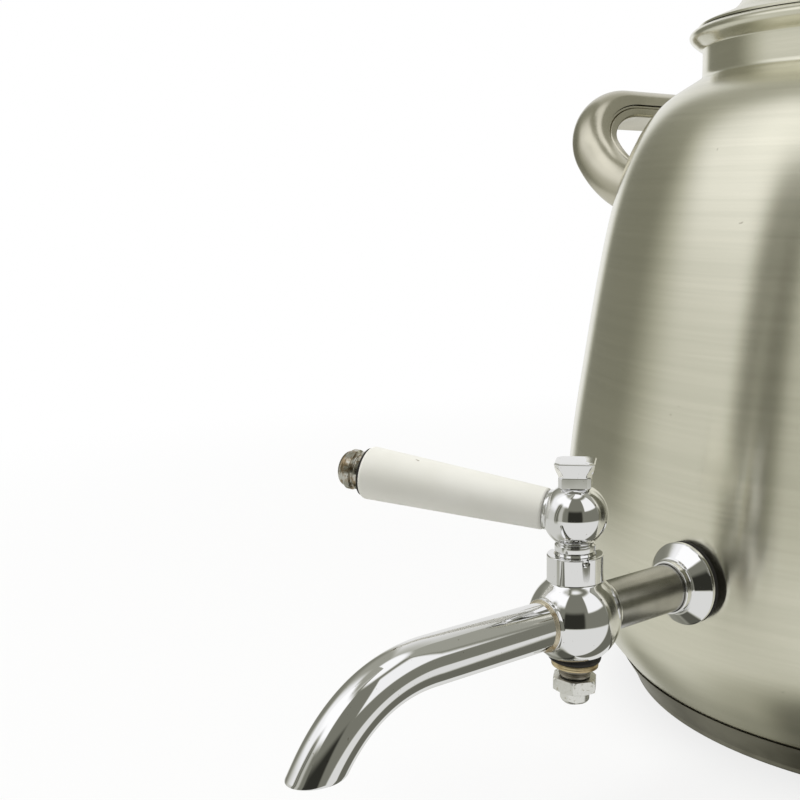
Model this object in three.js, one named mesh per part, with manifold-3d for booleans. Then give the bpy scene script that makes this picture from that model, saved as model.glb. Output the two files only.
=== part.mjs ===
// Steel kettle with a plug tap: a spun body on a capped aluminium base, two hollow
// side handles bent upwards, a loose domed lid, and a plug valve with a bent spout
// and a side lever. Millimetres, +Z up. The origin is the middle of the underside,
// the tap points to -Y and the handles to -X and +X.

import * as THREE from "three";
import { mergeVertices } from "three/addons/utils/BufferGeometryUtils.js";
import Module from "manifold-3d";

const wasm = await Module();
wasm.setup();

// Common values
const gap = 0.3; // left between pieces that touch or run on each other
const overrun = 4; // how far a cutting body passes through a face
const merge_distance = 0.0005;
const body_facets = 48;
const lid_facets = 40;
const small_facets = 18;
const corner_steps = 2;

// Body
const sheet = 1;
const base_height = 11;
const belly_radius = 137.6;
const side_height = 209.7;
const side_shares = [
  [0.0, 0.853], [0.05, 0.913], [0.12, 0.972], [0.2, 0.995], [0.3, 1.0], [0.4, 0.986], [0.5, 0.963],
  [0.7, 0.912], [0.82, 0.868], [0.9, 0.817], [0.955, 0.752], [0.99, 0.674],
];
const side_steps = 10;
const body_corner_radius = 1.6;
const neck_radius = 89.5;
const neck_height = 10.4;
const neck_root_radius = 3;
const bead_reach = 4.9; // the rolled edge hangs over the neck as a drop-shaped bead
const bead_rise = 6.9;
const bead_shares = [
  [0.31, 0.12], [0.63, 0.26], [0.9, 0.42], [1.0, 0.61], [0.9, 0.75], [0.51, 0.94], [0.31, 1.0], [0.06, 0.99],
];

// Base cap and its core
const base_sheet = 1;
const base_inset = 0.6;
const base_taper = 5.6;
const base_corner_radius = 2;
const core_inset = 1.2;

// Side handles
const handle_root_share = 0.807;
const handle_level_run = 5.2;
const handle_sweep_radius = 49;
const handle_sweep_angle = THREE.MathUtils.degToRad(69);
const handle_start_angle = THREE.MathUtils.degToRad(15.5);
const handle_length = 55.3;
const handle_half_span = 41.5;
const handle_root_half_span = 49;
const handle_corner_radius = 23.7;
const handle_wide_radius = 10;
const handle_thin_radius = 8.3;
const handle_seam_angle = THREE.MathUtils.degToRad(86);
const handle_sheet = 1.1;
const handle_steps = 24;
const handle_round_steps = 6;
const liner_depth = 5.6;
const liner_step = 0.6;
const liner_corner_radius = 2.4;
const liner_hollow = 0.8;

// Tap joint on the body
const tap_height = 63.2;
const gasket_thickness = 3;
const gasket_radius = 13.6;
const flange_radius = 12.5;
const flange_edge = 1.5;
const flange_cone = 3.2;
const flange_hub_radius = 8.7;
const flange_hub_length = 2.6;
const pipe_radius = 7.1;
const shank_radius = 6.4;
const pipe_bore_radius = 4.6;
const inner_gasket_radius = 12;
const inner_gasket_thickness = 2.4;
const inner_washer_radius = 11;
const inner_washer_thickness = 1.2;
const lock_nut_flats = 19;
const lock_nut_thickness = 5;
const shank_tail = 2.5;

// Valve body
const valve_reach = 44.7;
const ball_radius = 13;
const socket_depth = 3.2;
const boss_margin = 0.9;
const boss_length = 1.4;
const pipe_boss_length = 1;
const collar_radius = 7.85;
const collar_rise = 18;
const port_radius = 2.4;
const notch_radius = 1.2;
const notch_depth = 1.3;
const notch_drop = 0.9;
const notch_angle = THREE.MathUtils.degToRad(-20.6);
const ball_rows = 12;

// Spout
const spout_radius = 6.55;
const spout_wall = 1;
const spout_straight = 50;
const spout_turn = 71;
const spout_reach = 82.8;
const spout_drop = 19.7;
const spout_steps = 12;

// Plug, its lever head and the stop
const plug_top_radius = 5.6;
const plug_foot_radius = 4.7;
const neck_ring_radius = 5.7;
const neck_ring_height = 2.6;
const neck_ring_chamfer = 0.5;
const head_waist_radius = 5;
const head_radius = 9.05;
const head_rise = 28.7;
const head_steps = 7;
const tail_radius = 3.2;
const lever_open_turn = THREE.MathUtils.degToRad(60);
const lever_shut_turn = THREE.MathUtils.degToRad(30);
const stop_height = 1.8;
const stop_width = 2.4;
const stop_reach = 1.5;
const stop_angle = THREE.MathUtils.degToRad(120);

// Finial on the lever head
const finial_seat_radius = 4.1;
const finial_height = 7.2;
const finial_reach = 5.58;
const finial_sides = 4;
// Height of each level, distance of its flats from the axis and half their width
const finial_shares = [
  [0, 0.806, 0.618], [0.4, 0.806, 0.618], [0.44, 0.815, 0.556], [0.61, 0.9, 0.615],
  [0.74, 0.95, 0.706], [0.89, 0.986, 0.753], [0.95, 0.986, 0.753], [1, 0.92, 0.7],
];
const finial_stem_radius = 2;
const finial_stem_length = 3.2;

// Lever
const lever_turn = THREE.MathUtils.degToRad(120);
const lever_tilt = THREE.MathUtils.degToRad(7);
const grip_boss_radius = 5.6;
const rod_radius = 2.5;
const rod_depth = 4;
const grip_seat = 8.1;
const grip_length = 52;
const grip_inner_radius = 5.8;
const grip_outer_radius = 7.65;
const grip_edge_radius = 0.8;
const grip_washer_radius = 6.6;
const grip_washer_thickness = 1.2;
const end_nut_radius = 5.5;
const end_nut_length = 8.6;
const end_nut_groove = 0.7;
const end_nut_grooves = 2;
const end_nut_dome = 3.6;
const end_nut_bore_depth = 6;

// Tail stack under the valve body
const tail_gasket_radius = 7.4;
const tail_gasket_thickness = 1.3;
const tail_washer_radius = 6.6;
const tail_washer_thickness = 1.7;
const tail_spring_radius = 5.1;
const tail_spring_foot_radius = 4.4;
const tail_spring_waist_radius = 4.1;
const tail_spring_thickness = 2.5;
const tail_spring_rise = 0.5;
const tail_nut_radius = 6.7;
const tail_nut_turn = THREE.MathUtils.degToRad(13);
const tail_nut_foot_radius = 4.1;
const tail_nut_foot_height = 2.4;
const tail_nut_foot_bevel = 0.8;
const tail_nut_height = 7;
const tail_nut_straight = 3.3;

// Lid and knob
const lid_sheet = 0.9;
const lid_rise = 32.5;
const flange_rise = 5;
const lid_edge_reach = 1.7;
const lid_edge_drop = 0.7;
const flange_share = 0.885;
const lid_flange_shares = [[0.0, 0.998], [0.15, 0.983], [0.34, 0.957], [0.62, 0.919]];
const dome_foot_share = 0.868;
const lid_dome_shares = [
  [0.1, 0.849], [0.23, 0.824], [0.5, 0.775], [0.72, 0.69], [0.88, 0.53], [0.97, 0.3], [1.0, 0.12],
];
const lid_steps = 8;
const skirt_clearance = 2;
const skirt_gap = 0.6;
const skirt_depth = 11;
const knob_radius = 15.5;
const knob_height = 27;
const knob_foot_radius = 9.5;
const knob_foot_height = 2.2;
const knob_waist_radius = 5.2;
const knob_brim_share = 0.66;
const knob_steps = 4;
const knob_screw_radius = 2.4;
const knob_screw_depth = 12;
const knob_screw_head_radius = 4.6;
const knob_screw_head_height = 2.2;
const knob_washer_radius = 8;
const knob_washer_thickness = 1;

// Places that follow from the sizes above
const body_bottom = base_height + gap;
const neck_root = body_bottom + side_height;
const bead_foot = neck_root + neck_height;
const neck_inner_radius = neck_radius - sheet;
const rim_top = bead_foot + bead_rise;
const handle_root_height = body_bottom + side_height * handle_root_share;

// Points of a profile, each a radius and a height
function at(radius, height) {
  return new THREE.Vector2(radius, height);
}

// Polyline whose corners given as [point, radius] are rounded by arcs
function rounded(corners, steps = corner_steps) {
  const line = [];
  corners.forEach(([point, radius], i) => {
    if (!radius) {
      line.push(point);
      return;
    }
    const before = corners[i - 1][0].clone().sub(point).normalize();
    const after = corners[i + 1][0].clone().sub(point).normalize();
    const half = Math.acos(THREE.MathUtils.clamp(before.dot(after), -1, 1)) / 2;
    const centre = before.clone().add(after).normalize().multiplyScalar(radius / Math.sin(half)).add(point);
    const start = point.clone().addScaledVector(before, radius / Math.tan(half)).sub(centre);
    const end = point.clone().addScaledVector(after, radius / Math.tan(half)).sub(centre);
    const sweep = Math.atan2(start.cross(end), start.dot(end));
    for (let k = 0; k <= steps; k++) {
      line.push(start.clone().rotateAround(at(0, 0), (sweep * k) / steps).add(centre));
    }
  });
  return line;
}

// Points of an arc round a centre, both ends included
function arc(centre, radius, from, to, steps) {
  const points = [];
  for (let k = 0; k <= steps; k++) {
    const angle = from + ((to - from) * k) / steps;
    points.push(at(centre.x + radius * Math.cos(angle), centre.y + radius * Math.sin(angle)));
  }
  return points;
}

// The same polyline moved square to itself, to its left for a positive distance
function offset(line, distance) {
  return line.map((point, i) => {
    const back = point.clone().sub(line[Math.max(i - 1, 0)]).normalize();
    const ahead = line[Math.min(i + 1, line.length - 1)].clone().sub(point).normalize();
    const along = back.add(ahead).normalize();
    const cosine = i > 0 && i < line.length - 1 ? Math.max(along.dot(ahead), Math.SQRT1_2) : 1;
    return at(point.x - (along.y * distance) / cosine, point.y + (along.x * distance) / cosine);
  });
}

// A profile turned about +Z; a closed profile repeats its first point
function revolve(profile, facets = small_facets) {
  const closed = [...profile, profile[0]];
  let area = 0;
  for (let i = 0; i + 1 < closed.length; i++) area += closed[i].cross(closed[i + 1]);
  const ring = profile.every((point) => point.x > 0) ? closed : profile;
  const turned = new THREE.LatheGeometry(area > 0 ? ring : [...ring].reverse(), facets);
  return turned.rotateX(Math.PI / 2);
}

// The same about +Y, where heights run along +Y
function revolveAlong(profile, facets = small_facets) {
  return revolve(profile, facets).rotateX(-Math.PI / 2);
}

function tube(outer, inner, low, high) {
  return [at(inner, low), at(outer, low), at(outer, high), at(inner, high)];
}

function solidOf(geometry) {
  const bare = geometry.clone();
  bare.deleteAttribute("normal");
  bare.deleteAttribute("uv");
  const merged = mergeVertices(bare, merge_distance);
  const corners = merged.index.array;
  const kept = [];
  for (let i = 0; i < corners.length; i += 3) {
    const [a, b, c] = corners.slice(i, i + 3);
    if (a !== b && b !== c && c !== a) kept.push(a, b, c);
  }
  const vertProperties = new Float32Array(merged.attributes.position.array);
  const triVerts = new Uint32Array(kept);
  return new wasm.Manifold(new wasm.Mesh({ numProp: 3, vertProperties, triVerts }));
}

function geometryOf(solid) {
  const mesh = solid.getMesh();
  const geometry = new THREE.BufferGeometry();
  geometry.setAttribute("position", new THREE.BufferAttribute(new Float32Array(mesh.vertProperties), 3));
  geometry.setIndex(new THREE.BufferAttribute(new Uint32Array(mesh.triVerts), 1));
  return geometry;
}

// A geometry with others cut away from it
function cut(geometry, ...tools) {
  return geometryOf(tools.reduce((solid, tool) => solid.subtract(solidOf(tool)), solidOf(geometry)));
}

function addMesh(parent, name, geometry, finish) {
  const mesh = new THREE.Mesh(geometry, new THREE.MeshStandardMaterial(finish));
  mesh.name = name;
  parent.add(mesh);
  return mesh;
}

const satin_steel = { color: 0xc4c1b4, roughness: 0.38, metalness: 1 };
const dull_steel = { color: 0x8f8c82, roughness: 0.45, metalness: 1 };
const chrome = { color: 0xd8dadb, roughness: 0.06, metalness: 1 };
const brushed_chrome = { color: 0xa9a9a4, roughness: 0.25, metalness: 1 };
const brass = { color: 0xb58a3c, roughness: 0.3, metalness: 1 };
const aluminium = { color: 0xb9bbbd, roughness: 0.5, metalness: 1 };
const rubber = { color: 0x15130f, roughness: 0.7, metalness: 0 };
const white_plastic = { color: 0xecebe4, roughness: 0.3, metalness: 0 };

// Outer line of the body from the middle of its bottom to the place on the neck
// where the rolled edge touches it
function bodyOutline() {
  const corners = side_shares.map(([rise, radius]) => {
    return at(radius * belly_radius, body_bottom + rise * side_height);
  });
  const side = new THREE.SplineCurve(corners).getSpacedPoints(side_steps);
  const start = side.shift();
  const shoulder = side.pop();
  return rounded([
    [at(0, body_bottom), 0],
    [at(start.x, body_bottom), body_corner_radius],
    ...side.map((point) => [point, 0]),
    [shoulder, 0],
    [at(neck_radius, neck_root), neck_root_radius],
    [at(neck_radius, bead_foot), 0],
  ]);
}

// Radius of an outline at a height on its side
function radiusAt(outline, height) {
  const i = outline.findIndex((point, k) => k > 1 && point.y >= height);
  const [low, high] = [outline[i - 1], outline[i]];
  return THREE.MathUtils.mapLinear(height, low.y, high.y, low.x, high.x);
}

const body_outline = bodyOutline();
const wall_radius = radiusAt(body_outline, tap_height);
const valve_distance = wall_radius + gasket_thickness + gap + valve_reach;

// Solid inside the body's outline moved inwards by a distance, with a straight neck
function filledBody(distance) {
  const line = offset(body_outline, distance);
  line[0].x = 0;
  return revolve([...line, at(line[line.length - 1].x, rim_top), at(0, rim_top)], body_facets);
}

function kettleBody() {
  const inner = offset(body_outline, sheet);
  inner[0].x = 0;
  inner[inner.length - 1] = at(neck_inner_radius, rim_top - sheet);
  const bead = bead_shares.map(([out, rise]) => {
    return at(neck_radius + out * bead_reach, bead_foot + rise * bead_rise);
  });
  const profile = [...body_outline, ...bead, ...inner.reverse()];
  const hole = revolveAlong([
    at(0, -wall_radius - overrun), at(shank_radius + gap, -wall_radius - overrun),
    at(shank_radius + gap, overrun - wall_radius), at(0, overrun - wall_radius),
  ]);
  return cut(revolve(profile, body_facets), hole.translate(0, 0, tap_height));
}

// The cap closes the aluminium disc against the bottom of the body
function baseShell() {
  const top_radius = radiusAt(body_outline, body_bottom + body_corner_radius) - base_inset;
  const foot_radius = top_radius - base_taper;
  const outer = rounded([
    [at(0, 0), 0], [at(foot_radius, 0), base_corner_radius], [at(top_radius, base_height), 0],
  ]);
  const inner = offset(outer, base_sheet);
  inner[0].x = 0;
  inner[inner.length - 1].y = base_height;
  return revolve([...outer, ...inner.reverse()], body_facets);
}

function baseCore() {
  const foot = belly_radius * side_shares[0][1] - base_inset - base_taper - base_sheet - core_inset;
  const low = base_sheet + gap;
  const profile = rounded([
    [at(0, low), 0], [at(foot, low), base_sheet], [at(foot, base_height), 0], [at(0, base_height), 0],
  ]);
  return revolve(profile, body_facets);
}

// Middle line of a side handle: a flat U with round corners, narrower at the body,
// bent up out of the level by one arc. Its frames keep the wide axis of the
// section square to the bent sheet that the U lies on.
class HandleLoop extends THREE.Curve {
  flat(t) {
    const leg = handle_length - handle_corner_radius + overrun * 2;
    const turn = (handle_corner_radius * Math.PI) / 2;
    const bar = handle_half_span - handle_corner_radius;
    const half = leg + turn + bar;
    const side = t < 0.5 ? -1 : 1;
    const run = (t < 0.5 ? t : 1 - t) * 2 * half;
    let across = handle_half_span;
    let along = run - overrun * 2;
    if (run > leg + turn) {
      across = half - run;
      along = handle_length;
    } else if (run > leg) {
      const angle = (run - leg) / handle_corner_radius;
      across = bar + handle_corner_radius * Math.cos(angle);
      along = handle_length - handle_corner_radius * (1 - Math.sin(angle));
    }
    const narrowing = (handle_half_span - handle_root_half_span) / handle_half_span;
    return [side * across * (1 - narrowing * (1 - along / handle_length)), along];
  }

  slope(along) {
    const bent = (along - handle_level_run) / handle_sweep_radius;
    return handle_start_angle + THREE.MathUtils.clamp(bent, 0, handle_sweep_angle);
  }

  getPoint(t, target = new THREE.Vector3()) {
    const [across, along] = this.flat(t);
    const level = Math.min(along, handle_level_run);
    const end = this.slope(along);
    const beyond = Math.max(along - handle_level_run - handle_sweep_radius * handle_sweep_angle, 0);
    const start = handle_start_angle;
    const out = level * Math.cos(start) + handle_sweep_radius * (Math.sin(end) - Math.sin(start));
    const up = level * Math.sin(start) + handle_sweep_radius * (Math.cos(start) - Math.cos(end));
    return target.set(out + beyond * Math.cos(end), across, up + beyond * Math.sin(end));
  }

  computeFrenetFrames(segments) {
    const frames = { tangents: [], normals: [], binormals: [] };
    for (let i = 0; i <= segments; i++) {
      const tangent = this.getTangentAt(i / segments);
      const slope = this.slope(this.flat(this.getUtoTmapping(i / segments))[1]);
      const wide = new THREE.Vector3(-Math.sin(slope), 0, Math.cos(slope));
      wide.addScaledVector(tangent, -wide.dot(tangent)).normalize();
      frames.tangents.push(tangent);
      frames.normals.push(wide);
      frames.binormals.push(new THREE.Vector3().crossVectors(tangent, wide));
    }
    return frames;
  }
}

// Section of the outer channel: x along the wide axis, y away from the finger space
function channelSection() {
  const { PI } = Math;
  const round = (wide, thin) => {
    const from = PI / 2 - handle_seam_angle;
    const to = PI / 2 + handle_seam_angle;
    return new THREE.EllipseCurve(0, 0, wide, thin, from, to).getPoints(handle_round_steps);
  };
  const outside = round(handle_wide_radius, handle_thin_radius);
  const inside = round(handle_wide_radius - handle_sheet, handle_thin_radius - handle_sheet);
  return [...outside, ...inside.reverse()];
}

// Section of the tray that closes the channel on the finger side
function linerSection() {
  const lip = handle_thin_radius * Math.cos(handle_seam_angle) - gap;
  const edge = handle_wide_radius * Math.sin(handle_seam_angle) - liner_step;
  const outside = rounded([
    [at(edge, lip), 0], [at(edge, -liner_depth), liner_corner_radius], [at(0, liner_hollow - liner_depth), 0],
  ]);
  const mirrored = outside.slice(0, -1).reverse().map((point) => at(-point.x, point.y));
  const whole = [...outside, ...mirrored];
  return [...whole, ...offset(whole, -handle_sheet).reverse()];
}

// A section swept along the loop and cut to the side of the body
function handlePiece(section) {
  const loop = new HandleLoop();
  const shape = new THREE.Shape(section);
  const swept = new THREE.ExtrudeGeometry(shape, { steps: handle_steps, extrudePath: loop });
  const root = Math.sqrt(radiusAt(body_outline, handle_root_height) ** 2 - handle_root_half_span ** 2);
  swept.translate(root, 0, handle_root_height);
  return cut(swept, filledBody(-gap));
}

function addHandles(parent) {
  const pieces = { shell: handlePiece(channelSection()), liner: handlePiece(linerSection()) };
  for (const [side, turn] of [["right", 0], ["left", Math.PI]]) {
    for (const [part, geometry] of Object.entries(pieces)) {
      addMesh(parent, `handle_${side}_${part}`, geometry, satin_steel).rotation.z = turn;
    }
  }
}

// From here the tap's own frame holds: its origin is the middle of the valve,
// +Y runs back to the kettle and +Z up the plug
const flange_back = valve_reach;
const wall_face = valve_distance - wall_radius;
const inner_face = wall_face + sheet + gap + inner_gasket_thickness;
const nut_face = inner_face + gap + inner_washer_thickness + gap;
const shank_end = nut_face + lock_nut_thickness + shank_tail;

function bodyInTapFrame(distance) {
  return filledBody(distance).translate(0, valve_distance, -tap_height);
}

function outerGasket() {
  const disc = revolveAlong(tube(gasket_radius, shank_radius + gap, flange_back + gap, wall_face + overrun));
  return cut(disc, bodyInTapFrame(-gap));
}

function innerGasket() {
  const disc = revolveAlong(tube(inner_gasket_radius, shank_radius + gap, wall_face - overrun, inner_face));
  return geometryOf(solidOf(disc).intersect(solidOf(bodyInTapFrame(sheet + gap))));
}

function tapFlange() {
  const bore = pipe_radius + gap;
  const rim = flange_back - flange_edge;
  const cone = rim - flange_cone;
  return revolveAlong([
    at(bore, cone - flange_hub_length), at(flange_hub_radius - end_nut_groove, cone - flange_hub_length),
    at(flange_hub_radius - end_nut_groove / 2, cone), at(flange_hub_radius, cone),
    at(flange_radius - gap, rim), at(flange_radius, rim + gap), at(flange_radius, flange_back),
    at(bore, flange_back),
  ]);
}

function inletPipe() {
  const start = Math.sqrt(ball_radius ** 2 - pipe_radius ** 2) - socket_depth + gap;
  return revolveAlong([
    at(pipe_bore_radius, start), at(pipe_radius, start), at(pipe_radius, flange_back),
    at(shank_radius, flange_back), at(shank_radius, shank_end), at(pipe_bore_radius, shank_end),
  ]);
}

function innerWasher() {
  const face = inner_face + gap;
  return revolveAlong(tube(inner_washer_radius, shank_radius + gap, face, face + inner_washer_thickness));
}

// Six-sided nut standing on the XY plane with a round bore
function hexNut(flats, bore, thickness) {
  const corner = flats / Math.sqrt(3);
  const outline = new THREE.Shape(arc(at(0, 0), corner, 0, Math.PI * 2, 6).slice(0, -1));
  outline.holes.push(new THREE.Path(arc(at(0, 0), bore, 0, Math.PI * 2, small_facets).slice(0, -1)));
  return new THREE.ExtrudeGeometry(outline, { depth: thickness, bevelEnabled: false });
}

function lockNut() {
  const nut = hexNut(lock_nut_flats, shank_radius + gap, lock_nut_thickness).rotateX(-Math.PI / 2);
  return nut.translate(0, nut_face, 0);
}

const seat_drop = Math.sqrt(ball_radius ** 2 - tail_gasket_radius ** 2);

// Ball with a collar on top, a boss and a socket for each pipe, the taper that the
// plug turns in, its water way and the slot that stops the lever
function valveBody() {
  const { PI } = Math;
  const spout_face = Math.sqrt(ball_radius ** 2 - (spout_radius + boss_margin) ** 2);
  const pipe_face = Math.sqrt(ball_radius ** 2 - pipe_radius ** 2);
  const boss_front = -spout_face - boss_length;
  const boss_back = Math.sqrt(ball_radius ** 2 - (pipe_radius + boss_margin) ** 2) + pipe_boss_length;
  const boss = revolveAlong([
    at(0, boss_front), at(spout_radius + boss_margin, boss_front), at(spout_radius + boss_margin, 0),
    at(pipe_radius + boss_margin, 0), at(pipe_radius + boss_margin, boss_back), at(0, boss_back),
  ]);
  const collar = revolve([
    at(0, 0), at(collar_radius, 0), at(collar_radius, collar_rise), at(0, collar_rise),
  ]);
  const ball = solidOf(new THREE.SphereGeometry(ball_radius, small_facets, ball_rows).rotateX(PI / 2));
  return cut(
    geometryOf(ball.add(solidOf(boss)).add(solidOf(collar))),
    revolve(plugTaper(gap, overrun)),
    waterWay(),
    revolveAlong(socket(spout_radius, -spout_face + socket_depth, -ball_radius - overrun)),
    revolveAlong(socket(pipe_radius, pipe_face - socket_depth, ball_radius + overrun)),
    revolve(socket(ball_radius, -seat_drop, -ball_radius - overrun)),
    stopSlot(),
    collarNotch(),
  );
}

// Small round notch in the collar's top edge
function collarNotch() {
  const cutter = revolveAlong([
    at(0, collar_radius - notch_depth), at(notch_radius, collar_radius - notch_depth),
    at(notch_radius, collar_radius + overrun), at(0, collar_radius + overrun),
  ]);
  return cutter.rotateZ(notch_angle - Math.PI / 2).translate(0, 0, collar_rise - notch_drop);
}

// The straight way through the valve, which the plug's port has too
function waterWay() {
  return revolveAlong([
    at(0, -ball_radius), at(port_radius, -ball_radius), at(port_radius, ball_radius), at(0, ball_radius),
  ]);
}

function socket(radius, from, to) {
  return [at(0, from), at(radius + gap, from), at(radius + gap, to), at(0, to)];
}

// The plug's cone, grown by a running gap and lengthened at both ends
function plugTaper(clearance, past) {
  const fall = (plug_top_radius - plug_foot_radius) / (collar_rise + seat_drop);
  const low = -seat_drop - past;
  const high = collar_rise + past;
  const radius = (height) => plug_foot_radius + fall * (height + seat_drop) + clearance;
  return [at(0, low), at(radius(low), low), at(radius(high), high), at(0, high)];
}

// Part of a ring between two angles, standing on a height
function sector(inner, outer, from, to, low, height) {
  const round = arc(at(0, 0), outer, from, to, small_facets / 2);
  const outline = new THREE.Shape([...round, ...arc(at(0, 0), inner, from, to, small_facets / 2).reverse()]);
  return new THREE.ExtrudeGeometry(outline, { depth: height, bevelEnabled: false }).translate(0, 0, low);
}

function stopSlot() {
  const half = (stop_width / 2 + gap) / plug_top_radius;
  const from = stop_angle - lever_shut_turn - half;
  const to = stop_angle + lever_open_turn + half;
  const low = collar_rise - stop_height;
  return sector(plug_foot_radius, collar_radius + overrun, from, to, low, stop_height + overrun);
}

function stopLug() {
  const reach = plug_top_radius + stop_reach;
  const half = stop_width / 2 / reach;
  const low = collar_rise - stop_height + gap;
  const height = stop_height + neck_ring_height / 2;
  return sector(plug_foot_radius / 2, reach, stop_angle - half, stop_angle + half, low, height);
}

// Tapered plug, threaded tail below it and round lever head above it with a boss
// that the grip butts against, and the cross port level with the water way
function valvePlug(lever_place) {
  const ring_low = collar_rise + gap * 2;
  const ring_high = ring_low + neck_ring_height;
  const head = at(0, head_rise);
  const from = -Math.acos(head_waist_radius / head_radius);
  const to = Math.acos(finial_seat_radius / head_radius);
  const taper = plugTaper(0, 0);
  const blank = revolve([
    at(0, tail_foot), at(tail_radius, tail_foot), at(tail_radius, tail_gasket_top),
    at(taper[1].x, tail_gasket_top),
    at(taper[2].x, collar_rise), at(neck_ring_radius - neck_ring_chamfer, ring_low),
    at(neck_ring_radius, ring_low + neck_ring_chamfer), at(neck_ring_radius, ring_high - neck_ring_chamfer),
    at(neck_ring_radius - neck_ring_chamfer, ring_high), at(head_waist_radius, ring_high),
    ...arc(head, head_radius, from, to, head_steps), at(0, head_rise + head_radius * Math.sin(to)),
  ]);
  const rod_hole = revolveAlong(socket(rod_radius, rod_depth - gap, head_radius + overrun));
  const flat = revolveAlong(socket(head_radius, grip_seat, head_radius + overrun));
  const boss = revolveAlong([
    at(0, rod_depth), at(grip_boss_radius, rod_depth), at(grip_boss_radius, grip_seat), at(0, grip_seat),
  ]).applyMatrix4(lever_place);
  const stem_foot = finial_seat - finial_stem_length - gap;
  return cut(
    geometryOf(solidOf(blank).add(solidOf(stopLug())).add(solidOf(boss))),
    waterWay().rotateZ(lever_turn),
    rod_hole.applyMatrix4(lever_place),
    flat.applyMatrix4(lever_place),
    revolve(socket(finial_stem_radius, stem_foot, head_rise + head_radius + overrun)),
  );
}

const finial_seat = head_rise + Math.sqrt(head_radius ** 2 - finial_seat_radius ** 2) + gap;

// Square bar from the finial's seat to its top, with this corner share at each level
function finialBar(corner_share) {
  const side = finial_shares.map((share) => (
    at(finial_reach * corner_share(share), finial_seat + finial_height * share[0])
  ));
  return revolve([at(0, finial_seat), ...side, at(0, finial_seat + finial_height)], finial_sides);
}

// Flared finial: a square bar cut with a second one turned by half a side, so that its
// corners are bevelled, on the stem that clamps the rod
function finialScrew() {
  const flats = finialBar((share) => share[1] * Math.SQRT2);
  const bevels = finialBar((share) => share[1] + share[2]).rotateZ(Math.PI / finial_sides);
  const stem = revolve(socket(finial_stem_radius, finial_seat - finial_stem_length, finial_seat + gap));
  return geometryOf(solidOf(stem).add(solidOf(flats).intersect(solidOf(bevels))));
}

// The lever's pieces lie along +Y of a frame at the middle of the lever head
const grip_start = grip_seat + gap;
const grip_end = grip_start + grip_length;
const washer_start = grip_end + gap;
const nut_start = washer_start + grip_washer_thickness + gap;

function leverRod() {
  const end = nut_start + end_nut_bore_depth - gap;
  return revolveAlong([at(0, rod_depth), at(rod_radius, rod_depth), at(rod_radius, end), at(0, end)]);
}

function leverGrip() {
  return revolveAlong(rounded([
    [at(rod_radius + gap, grip_start), 0], [at(grip_inner_radius, grip_start), grip_edge_radius],
    [at(grip_outer_radius, grip_end), grip_edge_radius], [at(rod_radius + gap, grip_end), 0],
  ]));
}

// Grooved nut with a domed end and a blind bore
function gripEndNut() {
  const groove_span = end_nut_length - end_nut_dome;
  const pitch = groove_span / end_nut_grooves;
  const profile = [at(rod_radius + gap, nut_start), at(end_nut_radius - end_nut_groove, nut_start)];
  for (let k = 0; k < end_nut_grooves; k++) {
    const low = nut_start + pitch * k;
    profile.push(at(end_nut_radius - end_nut_groove, low + pitch / 4), at(end_nut_radius, low + pitch / 2));
    profile.push(at(end_nut_radius, low + (pitch * 3) / 4), at(end_nut_radius - end_nut_groove, low + pitch));
  }
  const dome_start = nut_start + groove_span;
  const dome = new THREE.EllipseCurve(0, dome_start, end_nut_radius, end_nut_dome, 0, Math.PI / 2);
  profile.push(...dome.getPoints(corner_steps * 2).map((point) => at(Math.max(point.x, 0), point.y)));
  profile[profile.length - 1].x = 0;
  profile.push(at(0, nut_start + end_nut_bore_depth), at(rod_radius + gap, nut_start + end_nut_bore_depth));
  return revolveAlong(fromAxis(profile));
}

// A closed profile that touches the axis, begun again at its first axis point
function fromAxis(profile) {
  const first = profile.findIndex((point, i) => point.x === 0 && profile[i - 1]?.x !== 0);
  const turned = [...profile.slice(first), ...profile.slice(0, first)];
  return turned[1].x === 0 ? [...turned.slice(1), turned[0]] : turned;
}

// Washers and nut pulled up on the tail of the plug, each under the last
const tail_gasket_top = -seat_drop - gap;
const tail_washer_top = tail_gasket_top - tail_gasket_thickness - gap;
const tail_spring_top = tail_washer_top - tail_washer_thickness - gap;
const tail_nut_top = tail_spring_top - tail_spring_thickness - gap;
const tail_foot = tail_nut_top - tail_nut_height;

function tailRing(radius, top, thickness) {
  return revolve(tube(radius, tail_radius + gap, top - thickness, top));
}

// Thick spring washer, dished on top, with a groove above its narrower foot
function tailSpring() {
  const inner = tail_radius + gap;
  const low = tail_spring_top - tail_spring_thickness;
  return revolve([
    at(inner, low), at(tail_spring_foot_radius, low),
    at(tail_spring_foot_radius, low + tail_spring_rise),
    at(tail_spring_waist_radius, low + tail_spring_rise * 2),
    at(tail_spring_radius, tail_spring_top - tail_spring_rise), at(inner, tail_spring_top),
  ]);
}

// Hexagon that narrows below its straight part to a round foot
function tailNut() {
  const nut = hexNut(tail_nut_radius * Math.sqrt(3), tail_radius + gap, tail_nut_height);
  const envelope = revolve([
    at(0, tail_foot), at(tail_nut_foot_radius - tail_nut_foot_bevel, tail_foot),
    at(tail_nut_foot_radius, tail_foot + tail_nut_foot_bevel),
    at(tail_nut_foot_radius, tail_foot + tail_nut_foot_height),
    at(tail_nut_radius, tail_nut_top - tail_nut_straight),
    at(tail_nut_radius, tail_nut_top + overrun), at(0, tail_nut_top + overrun),
  ]);
  const blank = nut.rotateZ(tail_nut_turn).translate(0, 0, tail_foot);
  return geometryOf(solidOf(blank).intersect(solidOf(envelope)));
}

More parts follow.
